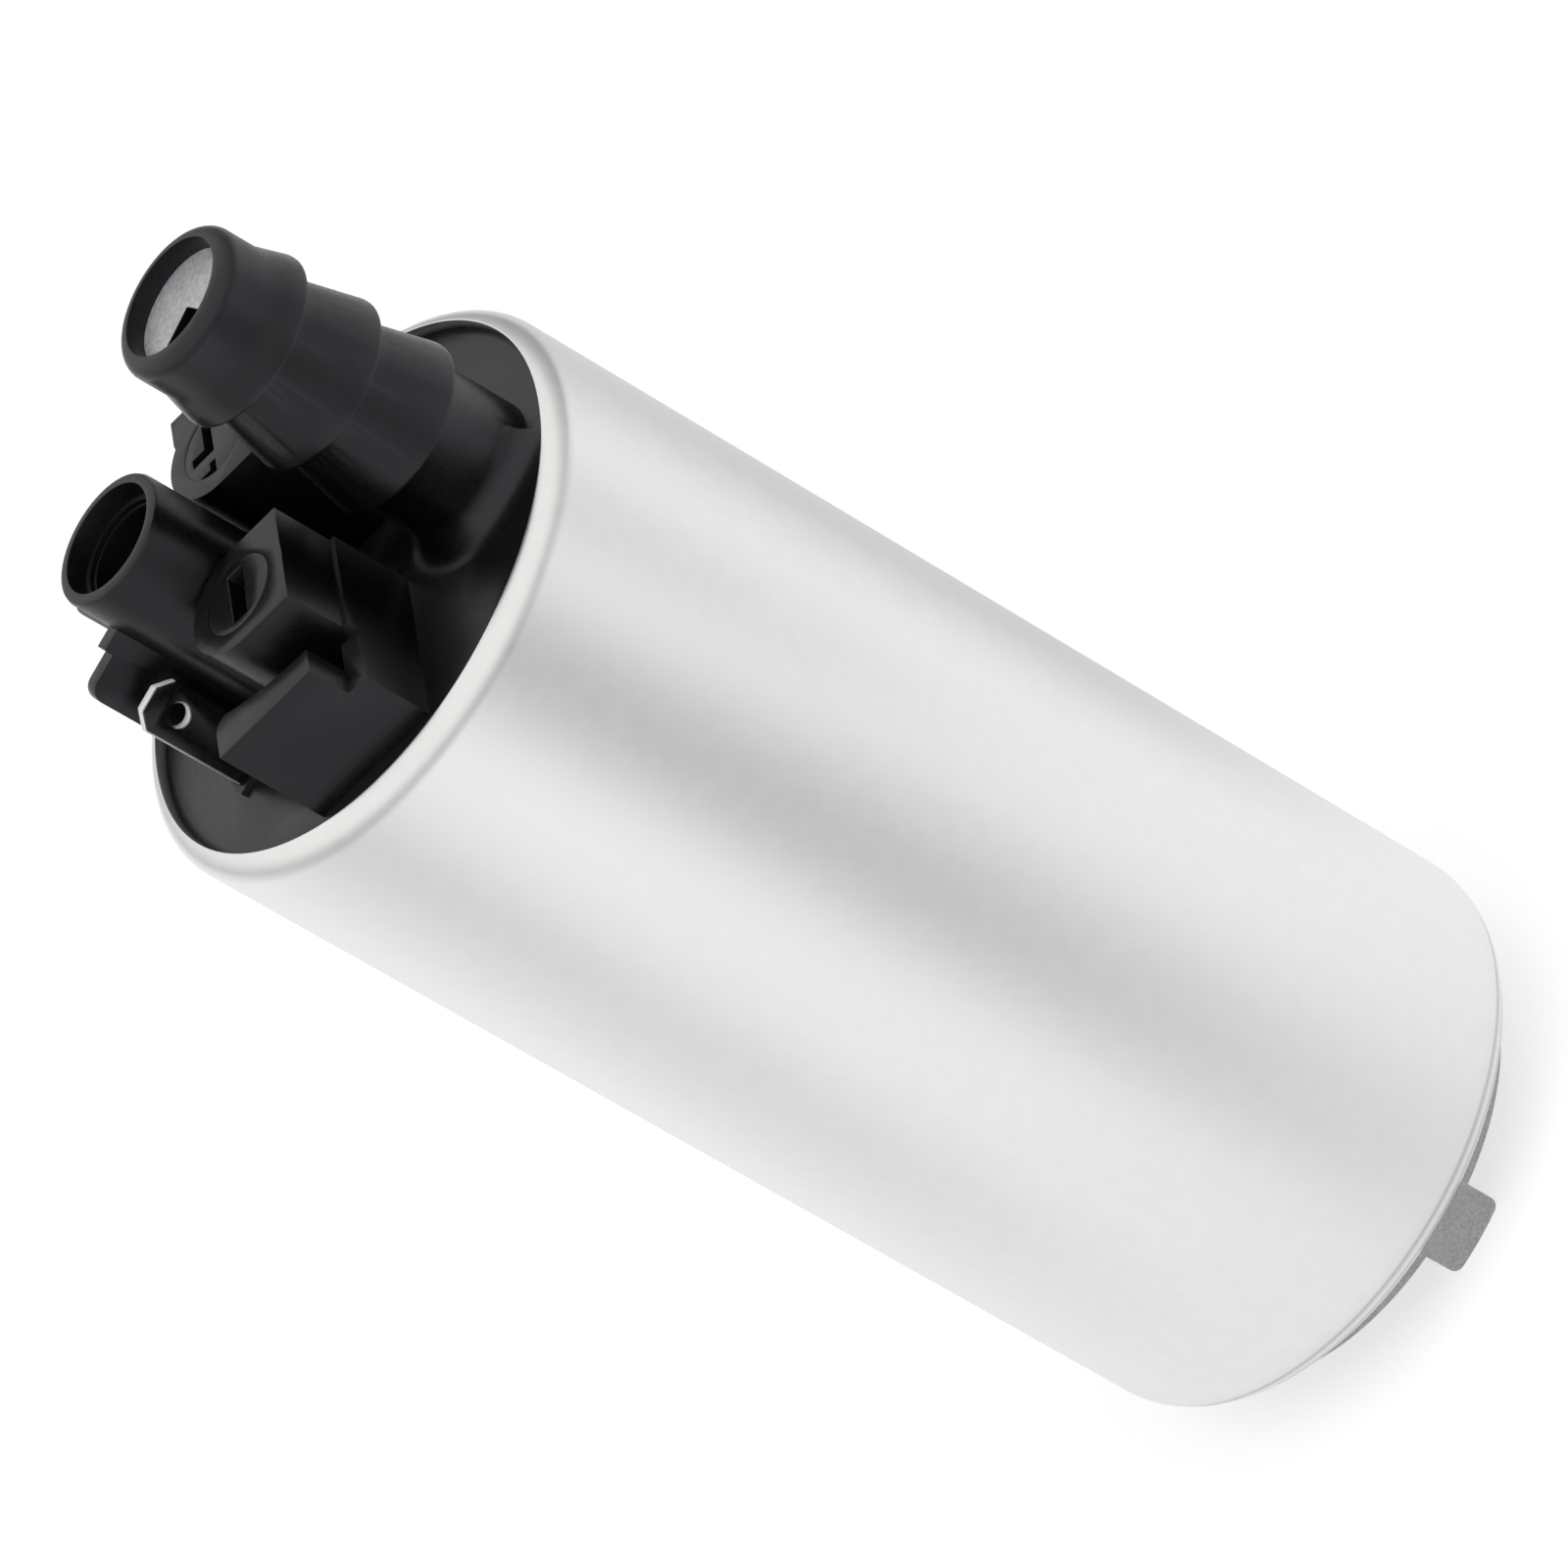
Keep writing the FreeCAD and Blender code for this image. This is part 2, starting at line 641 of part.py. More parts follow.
def make_commutator_hub():
    outer_r, inner_r = commutator_radii()
    hub = rod(outer_r, COMMUTATOR_BACK, COMMUTATOR_BACK + HUB_T)
    collar = rod(inner_r - SEGMENT_MARGIN, COMMUTATOR_BACK, COMMUTATOR_FACE)
    hub = hub.fuse(collar).cut(rod(SHAFT_R + PRESS_GAP, COMMUTATOR_BACK, COMMUTATOR_FACE))
    return hub.removeSplitter()


def make_commutator_segments():
    outer_r, inner_r = commutator_radii()
    low = COMMUTATOR_FACE - SEGMENT_T
    ring = tube(outer_r, inner_r, low, COMMUTATOR_FACE)
    cut = block(0, outer_r + OVERCUT, -SEGMENT_GAP / 2, SEGMENT_GAP / 2, low, COMMUTATOR_FACE)
    cuts = [rotated(cut, 360.0 * (i + 0.5) / SLOT_COUNT) for i in range(SLOT_COUNT)]
    return ring.cut(Part.makeCompound(cuts))


# Brushes


def brush_top():
    return COMMUTATOR_FACE + RUN_GAP + BRUSH_LENGTH


def cap_under():
    return RIM + TOWER_TOP - CAP_T


def make_brush():
    return rod(BRUSH_R, COMMUTATOR_FACE + RUN_GAP, brush_top(), TOWER_X)


def make_brush_spring():
    low = brush_top()
    return coil(BRUSH_SPRING_R, BRUSH_SPRING_WIRE, low, cap_under(), BRUSH_SPRING_TURNS, TOWER_X)


def make_brush_lead():
    return rod(BRUSH_LEAD_R, brush_top(), cap_under(), TOWER_X)


def cap_blank():
    return rod(CAP_R - PRESS_GAP, cap_under(), RIM + TOWER_TOP - PRESS_GAP, TOWER_X)


def make_slotted_cap():
    # The +X cap has one straight slot across it.
    top = RIM + TOWER_TOP
    half = CAP_SLOT_LENGTH / 2
    width = CAP_SLOT_WIDTH / 2
    slot = block(TOWER_X - half, TOWER_X + half, -width, width, top - CAP_SLOT_DEPTH, top)
    return cap_blank().cut(slot)


def make_stepped_cap():
    # The -X cap has an angled slot and a smaller angled notch beside it.
    top = RIM + TOWER_TOP
    floor = top - CAP_SLOT_DEPTH
    half = CAP_SLOT_LENGTH / 2
    x = -TOWER_X
    near = -CAP_SLOT_OFFSET + CAP_STEP_WIDTH / 2
    far = near - CAP_STEP_WIDTH
    leg_x = x + CAP_LEG_X
    arm = block(x - half, leg_x + CAP_STEP_WIDTH / 2, far, near, floor, top)
    leg = block(leg_x - CAP_STEP_WIDTH / 2, leg_x + CAP_STEP_WIDTH / 2, -half, near, floor, top)
    notch_end = x + CAP_NOTCH_END
    notch = block(x + CAP_NOTCH_START, notch_end, near - CAP_NOTCH_WIDTH, near, floor, top)
    drop = block(notch_end - CAP_NOTCH_WIDTH, notch_end, near - CAP_NOTCH_DROP, near, floor, top)
    return mirrored(cap_blank()).cut(arm.fuse(leg)).cut(notch.fuse(drop))


# End cover


def cover_rise(height):
    # A height from the rim plane as a height of the pump.
    return RIM + height


def make_end_cover():
    cover = cover_cup()
    solids = [tower(), guard_wall(), fin(), foot_collar(), choke_socket()]
    pairs = solids + [mirrored(solid) for solid in solids]
    cover = cover.multiFuse(pairs + [nipple(), nipple_flare(), small_tube(), bush_boss()])
    cuts = [brush_bore(), mirrored(brush_bore()), nipple_bore(), small_tube_bore(), bush_bore()]
    cuts += [blade_slot(), mirrored(blade_slot()), choke_bore(), mirrored(choke_bore())]
    for cut in cuts:
        cover = cover.cut(cut)
    return cover.removeSplitter()


def cover_cup():
    # The disc and its skirt, with a groove round the skirt for the seal.
    corner = CAN_SHOULDER_R - CAN_WALL + SEAT_GAP
    outline = [
        line(at(0, 0, COVER_UNDER), at(SKIRT_BORE_R, 0, COVER_UNDER)),
        line(at(SKIRT_BORE_R, 0, SKIRT_BOTTOM), at(INSERT_R, 0, SKIRT_BOTTOM)),
        *chords(at(INSERT_R - corner, 0, COVER_TOP - corner), corner, 0, 90),
        line(at(INSERT_R - corner, 0, COVER_TOP), at(0, 0, COVER_TOP)),
    ]
    cup = turned(joined(outline))
    low = COVER_TOP - SEAL_DEPTH - SEAT_GAP
    return cup.cut(tube(CAN_R, CAN_BORE_R - SEAL_SIZE - SEAT_GAP, low, low + SEAL_SIZE + 2 * SEAT_GAP))


def make_cover_seal():
    # A square ring cut from tube, squeezed between its groove and the can.
    low = COVER_TOP - SEAL_DEPTH
    return tube(CAN_BORE_R, CAN_BORE_R - SEAL_SIZE, low, low + SEAL_SIZE)


def u_shape(flat_y, z_low, z_high):
    # A block with one flat side towards +Y and a half-round side towards -Y.
    body = block(TOWER_X - TOWER_R, TOWER_X + TOWER_R, 0, flat_y, z_low, z_high)
    return body.fuse(rod(TOWER_R, z_low, z_high, TOWER_X)).removeSplitter()


def tower():
    under = COMMUTATOR_FACE + BRUSH_TUBE_CLEARANCE
    upper = u_shape(TOWER_FLAT_Y, COVER_TOP, cover_rise(TOWER_TOP))
    base = u_shape(TOWER_BASE_Y, COVER_UNDER, cover_rise(TOWER_BASE_TOP))
    lower = rod(TOWER_R, under, COVER_UNDER, TOWER_X)
    web = block(TOWER_X, GUARD_X, TOWER_BASE_Y - WEB_T, TOWER_BASE_Y, COVER_UNDER, cover_rise(WEB_TOP))
    return upper.multiFuse([base, lower, web])


def brush_bore():
    under = COMMUTATOR_FACE + BRUSH_TUBE_CLEARANCE
    bore = rod(BRUSH_BORE_R, under, cover_rise(TOWER_TOP), TOWER_X)
    return bore.fuse(rod(CAP_R, cap_under(), cover_rise(TOWER_TOP), TOWER_X))


def guard_wall():
    # Flat outside and bowed inwards towards its rounded end.
    z = COVER_UNDER
    inner_x = GUARD_X - GUARD_T
    bulge_x = inner_x - GUARD_BULGE
    end_y = GUARD_Y_MIN
    turn_y = end_y + GUARD_END_R
    middle = at(inner_x - GUARD_BOW, (GUARD_Y_MAX + turn_y) / 2, z)
    inside = arc(at(inner_x, GUARD_Y_MAX, z), middle, at(bulge_x, turn_y, z))
    diagonal = GUARD_END_R * (1 - math.sqrt(0.5))
    end = arc(at(bulge_x, turn_y, z), at(bulge_x + diagonal, end_y + diagonal, z),
              at(bulge_x + GUARD_END_R, end_y, z))
    outside = line(at(GUARD_X, end_y, z), at(GUARD_X, GUARD_Y_MAX, z))
    return prism(joined([inside, end, outside]), cover_rise(GUARD_TOP) - z)


def nipple():
    # A plain neck over barbs that are cones with a narrow land, each with a flat underside.
    root_r = NIPPLE_FOOT_R
    edges = [line(at(0, 0, COVER_UNDER), at(root_r, 0, COVER_UNDER))]
    for i in reversed(range(BARB_COUNT)):
        crest = cover_rise(BARB_TOP - i * BARB_PITCH)
        land = crest - BARB_LAND
        edges.append(line(at(root_r, 0, land), at(BARB_R, 0, land)))
        edges.append(line(at(BARB_R, 0, land), at(BARB_R, 0, crest)))
        root_r = BARB_ROOT_R
    top = cover_rise(NIPPLE_TOP)
    edges.append(line(at(NIPPLE_NECK_R, 0, top - NIPPLE_NECK_LENGTH), at(NIPPLE_NECK_R, 0, top - NIPPLE_LIP_ROUND)))
    lip_centre = at(NIPPLE_NECK_R - NIPPLE_LIP_ROUND, 0, top - NIPPLE_LIP_ROUND)
    edges.append(corner_arc(lip_centre, NIPPLE_LIP_ROUND, 0, 90))
    edges.append(line(at(lip_centre.x, 0, top), at(0, 0, top)))
    return turned(joined(edges), 360.0, 0, NIPPLE_Y)


def nipple_flare():
    # A hollow fillet at the nipple's foot, on the side of the +X guard wall only.
    foot = NIPPLE_FOOT_R + FLARE_R
    bow = corner_arc(at(foot, 0, COVER_TOP + FLARE_R), FLARE_R, 180, 270)
    buried_r = NIPPLE_FOOT_R - OVERCUT
    inner = line(at(buried_r, 0, COVER_TOP), at(buried_r, 0, COVER_TOP + FLARE_R))
    flare = turned(joined([inner, bow]), FLARE_END - FLARE_START)
    flare = rotated(flare, FLARE_START)
    flare.translate(at(0, NIPPLE_Y, 0))
    return flare.common(rod(RIM_OPENING_R - SEAT_GAP, COVER_TOP, RIM + FLARE_R))


def nipple_bore():
    shoulder = cover_rise(NIPPLE_TOP - RETAINER_DEPTH - RETAINER_T)
    seat = cover_rise(VALVE_SEAT_TOP)
    bore = rod(NIPPLE_BORE_R, shoulder, cover_rise(NIPPLE_TOP), 0, NIPPLE_Y)
    bore = bore.fuse(rod(VALVE_CHAMBER_R, seat, shoulder, 0, NIPPLE_Y))
    bore = bore.fuse(rod(VALVE_SEAT_R, COVER_UNDER, seat, 0, NIPPLE_Y))
    cone = Part.makeCone(VALVE_SEAT_R, VALVE_HEAD_R, VALVE_CONE_H, at(0, NIPPLE_Y, seat - VALVE_CONE_H), UP)
    return bore.fuse(cone)


def small_tube():
    top = cover_rise(TUBE_TOP)
    edges = [
        line(at(0, 0, COVER_UNDER), at(TUBE_R, 0, COVER_UNDER)),
        *chords(at(TUBE_R - TUBE_ROUND, 0, top - TUBE_ROUND), TUBE_ROUND, 0, 90),
        line(at(TUBE_R - TUBE_ROUND, 0, top), at(0, 0, top)),
    ]
    return turned(joined(edges), 360.0, 0, TUBE_Y)


def small_tube_bore():
    top = cover_rise(TUBE_TOP)
    mouth = top - TUBE_MOUTH_DEPTH
    step = mouth - TUBE_STEP_DEPTH
    seat = cover_rise(RELIEF_SEAT_TOP)
    bore = rod(TUBE_MOUTH_R, mouth, top, 0, TUBE_Y)
    bore = bore.fuse(rod(TUBE_STEP_R, step, mouth, 0, TUBE_Y))
    bore = bore.fuse(rod(TUBE_BORE_R, seat, step, 0, TUBE_Y))
    return bore.fuse(rod(RELIEF_HOLE_R, COVER_UNDER, seat, 0, TUBE_Y))


def bush_boss():
    return rod(BUSH_BOSS_R, upper_bush_z(), COVER_UNDER)


def upper_bush_z():
    return COMMUTATOR_FACE + BUSH_ABOVE_COMMUTATOR


def bush_bore():
    bush_end = upper_bush_z() + UPPER_BUSH_LENGTH
    bore = rod(BUSH_R + PRESS_GAP, upper_bush_z(), bush_end)
    shaft_end = COMMUTATOR_FACE + SHAFT_ABOVE_COMMUTATOR
    return bore.fuse(rod(SHAFT_R + RUN_GAP * 4, bush_end, shaft_end + OVERCUT))


def fin():
    # A radial wall of the small tube beside each terminal, stepped and rounded at its free end.
    low = cover_rise(FIN_TOP - FIN_STEP)
    half = FIN_T / 2
    inner = block(0, FIN_STEP_REACH, -half, half, COVER_TOP, cover_rise(FIN_TOP))
    outer = block(0, FIN_REACH, -half, half, COVER_TOP, low)
    corner = [edge for edge in outer.Edges if is_free_corner(edge, low)]
    wall = inner.fuse(outer.makeFillet(FIN_ROUND, corner)).removeSplitter()
    wall = rotated(wall, FIN_ANGLE)
    wall.translate(at(0, TUBE_Y, 0))
    return wall


def is_free_corner(edge, height):
    middle = edge.CenterOfMass
    return abs(middle.x - FIN_REACH) < 1e-6 and abs(middle.z - height) < 1e-6


def foot_collar():
    half = BLADE_T / 2 + FOOT_COLLAR_MARGIN
    reach = BLADE_WIDTH / 2 + FOOT_COLLAR_MARGIN / 2
    collar = block(BLADE_MID_R - reach, BLADE_MID_R + reach, -half, half,
                   COVER_TOP, COVER_TOP + FOOT_COLLAR_H)
    return rotated(collar, BLADE_ANGLE)


def choke_place():
    return polar(CHOKE_MID_R, CHOKE_ANGLE)


def choke_socket():
    spot = choke_place()
    outer = CHOKE_ROD_R + CHOKE_SOCKET_WALL
    return rod(outer, COVER_UNDER - CHOKE_SOCKET_DEPTH, COVER_UNDER, spot.x, spot.y)


def choke_bore():
    spot = choke_place()
    return rod(CHOKE_ROD_R + PRESS_GAP, COVER_UNDER - CHOKE_SOCKET_DEPTH, COVER_UNDER, spot.x, spot.y)


# Terminals and chokes


def blade_blank(gap, z_low, z_high):
    half = BLADE_T / 2 + gap
    reach = BLADE_WIDTH / 2 + gap
    return block(BLADE_MID_R - reach, BLADE_MID_R + reach, -half, half, z_low, z_high)


def blade_slot():
    return rotated(blade_blank(PRESS_GAP, COVER_UNDER, cover_rise(BLADE_TOP)), BLADE_ANGLE)


def make_terminal():
    top = cover_rise(BLADE_TOP)
    blade = blade_blank(0, COVER_UNDER - BLADE_TAIL, top)
    tips = [edge for edge in blade.Edges if is_tip_corner(edge, top)]
    blade = blade.makeChamfer(BLADE_CHAMFER, tips)
    hole = Part.makeCylinder(BLADE_HOLE_R, BLADE_T * 2,
                             at(BLADE_MID_R, -BLADE_T, cover_rise(BLADE_HOLE_TOP)), at(0, 1, 0))
    return rotated(blade.cut(hole), BLADE_ANGLE)


def is_tip_corner(edge, height):
    ends = edge.Vertexes
    across = abs(ends[0].Point.y - ends[-1].Point.y) > BLADE_T / 2
    return across and abs(edge.CenterOfMass.z - height) < 1e-6


def make_choke_core():
    spot = choke_place()
    return rod(CHOKE_ROD_R, COVER_UNDER - CHOKE_ROD_LENGTH, COVER_UNDER, spot.x, spot.y)


def make_choke_coil():
    # Close turns of wire drawn as a stack of ridges, with a lead to the terminal and one to the tower.
    spot = choke_place()
    pitch = 2 * CHOKE_WIRE_R
    top = COVER_UNDER - CHOKE_SOCKET_DEPTH - CHOKE_WIRE_R
    inner = CHOKE_ROD_R + PRESS_GAP
    outline = [at(inner, 0, top), at(inner + CHOKE_WIRE_R, 0, top)]
    for i in range(CHOKE_TURNS):
        outline.append(at(inner + pitch, 0, top - pitch * (i + 0.5)))
        outline.append(at(inner + CHOKE_WIRE_R, 0, top - pitch * (i + 1)))
    outline.append(at(inner, 0, top - pitch * CHOKE_TURNS))
    wound = turned(polygon(outline), 360.0, spot.x, spot.y)
    upper = lead(spot, polar(BLADE_MID_R + BLADE_WIDTH / 4, BLADE_ANGLE), BLADE_T / 2, top - pitch / 2)
    lower = lead(spot, at(TOWER_X, 0, 0), TOWER_R, top - pitch * (CHOKE_TURNS - 0.5))
    return wound.fuse(upper).fuse(lower)


def lead(spot, target, stop_short, z):
    # A straight wire from the coil's side to the thing it is soldered to.
    way = target - spot
    reach = way.Length - stop_short - CHOKE_LEAD_GAP
    way.normalize()
    start = CHOKE_ROD_R + CHOKE_WIRE_R
    origin = at(spot.x, spot.y, z) + way * start
    return Part.makeCylinder(CHOKE_WIRE_R, reach - start, origin, way)


# Check valve


def make_check_valve():
    seat = cover_rise(VALVE_SEAT_TOP)
    cone = Part.makeCone(VALVE_SEAT_R - RUN_GAP, VALVE_HEAD_R - RUN_GAP, VALVE_CONE_H,
                         at(0, NIPPLE_Y, seat - VALVE_CONE_H + RUN_GAP), UP)
    head_low = seat + RUN_GAP
    head = rod(VALVE_HEAD_R - RUN_GAP, head_low, head_low + VALVE_HEAD_T, 0, NIPPLE_Y)
    guide_low = cover_rise(NIPPLE_TOP - RETAINER_DEPTH - RETAINER_T - RETAINER_GUIDE_H)
    stem = rod(VALVE_STEM_R, head_low, guide_low + VALVE_STEM_IN_GUIDE, 0, NIPPLE_Y)
    return cone.fuse(head).fuse(stem).removeSplitter()


def make_check_spring():
    low = cover_rise(VALVE_SEAT_TOP) + RUN_GAP + VALVE_HEAD_T
    high = cover_rise(NIPPLE_TOP - RETAINER_DEPTH - RETAINER_T)
    return coil(VALVE_SPRING_R, VALVE_SPRING_WIRE, low, high, VALVE_SPRING_TURNS, 0, NIPPLE_Y)


def make_valve_retainer():
    top = cover_rise(NIPPLE_TOP - RETAINER_DEPTH)
    under = top - RETAINER_T
    guide_r = VALVE_STEM_R + 2 * RUN_GAP
    disc = rod(NIPPLE_BORE_R - PRESS_GAP, under, top)
    guide = rod(guide_r + RETAINER_GUIDE_WALL, under - RETAINER_GUIDE_H, under)
    disc = disc.fuse(guide).cut(rod(guide_r, under - RETAINER_GUIDE_H, top - RETAINER_T / 2))
    low = under - RETAINER_GUIDE_H
    large = block(0, WINDOW_R, 0, WINDOW_R, low, top)
    small = block(-WINDOW_R, -SMALL_WINDOW_SIDE, SMALL_WINDOW_EDGE, WINDOW_R, low, top)
    windows = large.fuse(small).common(rod(WINDOW_R, low, top))
    disc = disc.cut(rotated(windows, WINDOW_ANGLE))
    disc.translate(at(0, NIPPLE_Y, 0))
    return disc.removeSplitter()


# Relief valve


def make_relief_ball():
    seat = cover_rise(RELIEF_SEAT_TOP)
    rise = math.sqrt(RELIEF_BALL_R ** 2 - RELIEF_HOLE_R ** 2)
    return Part.makeSphere(RELIEF_BALL_R, at(0, TUBE_Y, seat + rise + RUN_GAP))


def make_relief_spring():
    seat = cover_rise(RELIEF_SEAT_TOP)
    centre = seat + math.sqrt(RELIEF_BALL_R ** 2 - RELIEF_HOLE_R ** 2) + RUN_GAP
    low = centre + math.sqrt(RELIEF_BALL_R ** 2 - RELIEF_SPRING_R ** 2) + RELIEF_SPRING_WIRE / 2
    high = cover_rise(RELIEF_RETAINER_TOP) - RELIEF_RETAINER_T
    return coil(RELIEF_SPRING_R, RELIEF_SPRING_WIRE, low, high, RELIEF_SPRING_TURNS, 0, TUBE_Y)


def make_relief_retainer():
    top = cover_rise(RELIEF_RETAINER_TOP)
    return tube(TUBE_BORE_R - PRESS_GAP, RELIEF_RETAINER_HOLE_R, top - RELIEF_RETAINER_T, top, 0, TUBE_Y)


def main():
    os.makedirs("parts", exist_ok=True)
    save("can", make_can())
    save("end_cover", make_end_cover())
    save("cover_seal", make_cover_seal())
    save("inlet_cover", make_inlet_cover())
    save("thrust_pin", make_thrust_pin())
    save("chamber_ring", make_chamber_ring())
    save("impeller", make_impeller())
    save("pump_plate", make_pump_plate())
    save("lower_bush", make_bush(lower_bush_z(), LOWER_BUSH_LENGTH))
    save("upper_bush", make_bush(upper_bush_z(), UPPER_BUSH_LENGTH))
    save("shaft", make_shaft())
    save("flux_sleeve", make_flux_sleeve())
    save("armature_core", lamination(CORE_BOTTOM, CORE_TOP))
    save("lower_insulator", lamination(CORE_BOTTOM - INSULATOR_T, CORE_BOTTOM))
    save("upper_insulator", lamination(CORE_TOP, CORE_TOP + INSULATOR_T))
    save("winding", make_winding())
    save("commutator_hub", make_commutator_hub())
    save("commutator_segments", make_commutator_segments())
    save("brush_cap_a", make_stepped_cap())
    save("brush_cap_b", make_slotted_cap())
    save("check_valve", make_check_valve())
    save("check_spring", make_check_spring())
    save("valve_retainer", make_valve_retainer())
    save("relief_ball", make_relief_ball())
    save("relief_spring", make_relief_spring())
    save("relief_retainer", make_relief_retainer())
    save("magnet_b", make_magnet())
    save("magnet_a", mirrored(make_magnet()))
    save("magnet_clip_a", make_magnet_clip())
    save("magnet_clip_b", rotated(make_magnet_clip(), 180.0))
    pairs = {
        "brush": make_brush(),
        "brush_spring": make_brush_spring(),
        "brush_lead": make_brush_lead(),
        "terminal": make_terminal(),
        "choke_core": make_choke_core(),
        "choke_coil": make_choke_coil(),
    }
    for name, shape in pairs.items():
        save(name + "_a", mirrored(shape))
        save(name + "_b", shape)


main()
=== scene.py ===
# In-tank fuel pump: finishes, softened edges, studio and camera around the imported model
import bpy
import bmesh
import json
import math
from mathutils import Matrix, Vector


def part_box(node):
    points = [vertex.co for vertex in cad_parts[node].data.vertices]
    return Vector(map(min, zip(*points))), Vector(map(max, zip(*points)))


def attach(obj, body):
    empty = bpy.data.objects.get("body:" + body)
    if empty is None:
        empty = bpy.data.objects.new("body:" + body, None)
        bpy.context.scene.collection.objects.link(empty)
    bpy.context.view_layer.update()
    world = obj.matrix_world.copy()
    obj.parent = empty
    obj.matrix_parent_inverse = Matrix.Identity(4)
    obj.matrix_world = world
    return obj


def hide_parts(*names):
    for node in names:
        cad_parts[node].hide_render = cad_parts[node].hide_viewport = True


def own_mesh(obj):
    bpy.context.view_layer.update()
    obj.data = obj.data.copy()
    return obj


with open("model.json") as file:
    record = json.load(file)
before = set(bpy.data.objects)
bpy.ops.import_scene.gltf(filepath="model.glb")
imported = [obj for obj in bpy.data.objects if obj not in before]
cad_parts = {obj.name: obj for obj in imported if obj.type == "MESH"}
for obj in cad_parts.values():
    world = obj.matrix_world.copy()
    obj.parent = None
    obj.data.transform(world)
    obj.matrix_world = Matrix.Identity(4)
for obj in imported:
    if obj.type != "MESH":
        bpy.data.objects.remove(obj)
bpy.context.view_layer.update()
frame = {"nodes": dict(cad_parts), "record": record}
mm = 0.001
record = frame["record"]
bodyOfNode = {node: body for body, nodes in record["behaviour"]["bodies"].items() for node in nodes}
slotOfNode = {part["node"]: part["material_slot"] for part in record["subparts"]}
print("frame loaded:", len(bodyOfNode), "nodes")


# Node helpers. A value is a fixed number or colour, or the output of another node
def feed(links, socket, value):
    if isinstance(value, bpy.types.NodeSocket):
        links.new(value, socket)
    elif isinstance(value, tuple):
        socket.default_value = (*value, 1)
    else:
        socket.default_value = value


def mathNode(nodes, links, operation, *values):
    node = nodes.new("ShaderNodeMath")
    node.operation = operation
    for socket, value in zip(node.inputs, values):
        feed(links, socket, value)
    return node.outputs[0]


def mixNode(nodes, links, kind, factor, first, second):
    node = nodes.new("ShaderNodeMix")
    node.data_type = kind
    for name, value in (("Factor", factor), ("A", first), ("B", second)):
        feed(links, node.inputs[name], value)
    return node.outputs["Result"]


def mixNumber(nodes, links, factor, first, second):
    return mixNode(nodes, links, "FLOAT", factor, first, second)


def mixColour(nodes, links, factor, first, second):
    return mixNode(nodes, links, "RGBA", factor, first, second)


def mixShader(nodes, links, factor, first, second):
    node = nodes.new("ShaderNodeMixShader")
    for socket, value in zip(node.inputs, (factor, first, second)):
        links.new(value, socket)
    return node.outputs[0]


def rangeNode(nodes, links, value, **limits):
    node = nodes.new("ShaderNodeMapRange")
    links.new(value, node.inputs["Value"])
    names = {"low": "From Min", "high": "From Max", "atLow": "To Min", "atHigh": "To Max"}
    for key, number in limits.items():
        node.inputs[names[key]].default_value = number
    return node


def smoothRange(nodes, links, value, low, high, atLow, atHigh):
    node = rangeNode(nodes, links, value, low=low, high=high, atLow=atLow, atHigh=atHigh)
    node.interpolation_type = "SMOOTHSTEP"
    return node.outputs["Result"]


# Camera
shot = {
    "azimuth": 120.0,
    "elevation": 30.411,
    "roll": -59.786,
    "fromRim": (29.617, -13.412, 915.885),    # mm from the centre of the can's rim, on the camera's axes
    "lens": 312.28,
    "sensor": 36.0,
    "nearest": 0.05,    # m, what the camera still sees
    "furthest": 20.0,
}


def turnedTo(azimuth, elevation):
    # Looks back at the pump from this side and height, in degrees
    turn = Matrix.Rotation(math.radians(azimuth), 4, "Z")
    tilt = Matrix.Rotation(math.radians(90.0 - elevation), 4, "X")
    return turn @ tilt


def makeCamera():
    data = bpy.data.cameras.new("shotCamera")
    data.lens = shot["lens"]
    data.sensor_width = shot["sensor"]
    data.clip_start = shot["nearest"]
    data.clip_end = shot["furthest"]
    camera = bpy.data.objects.new("shotCamera", data)
    bpy.context.scene.collection.objects.link(camera)
    rimCentre = Matrix.Translation((0, 0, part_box("can")[1].z))
    aim = turnedTo(shot["azimuth"], shot["elevation"]) @ Matrix.Rotation(math.radians(shot["roll"]), 4, "Z")
    camera.matrix_world = rimCentre @ aim @ Matrix.Translation(Vector(shot["fromRim"]) * mm)
    bpy.context.scene.camera = camera


# Studio
studio = {
    "softLevel": 0.62,       # what the surroundings give to matt surfaces
    "zenithShine": 0.95,     # what they show in gloss, overhead and at the horizon
    "horizonShine": 0.58,
    "horizonHeight": 0.55,   # sine of the height where the overhead level is reached
    "skyTint": (1.0, 0.992, 0.968),
    "floorSize": 3.0,        # m
    "floorGap": 0.02,        # mm under the feet
    "floorColour": 0.42,     # under the lamps, with the glow that the camera sees added
    "floorGlow": 0.68,
    "floorShine": 1.0,       # what the floor shows in gloss where no card lies
    "lampAim": 60.0,         # mm up the pump
}
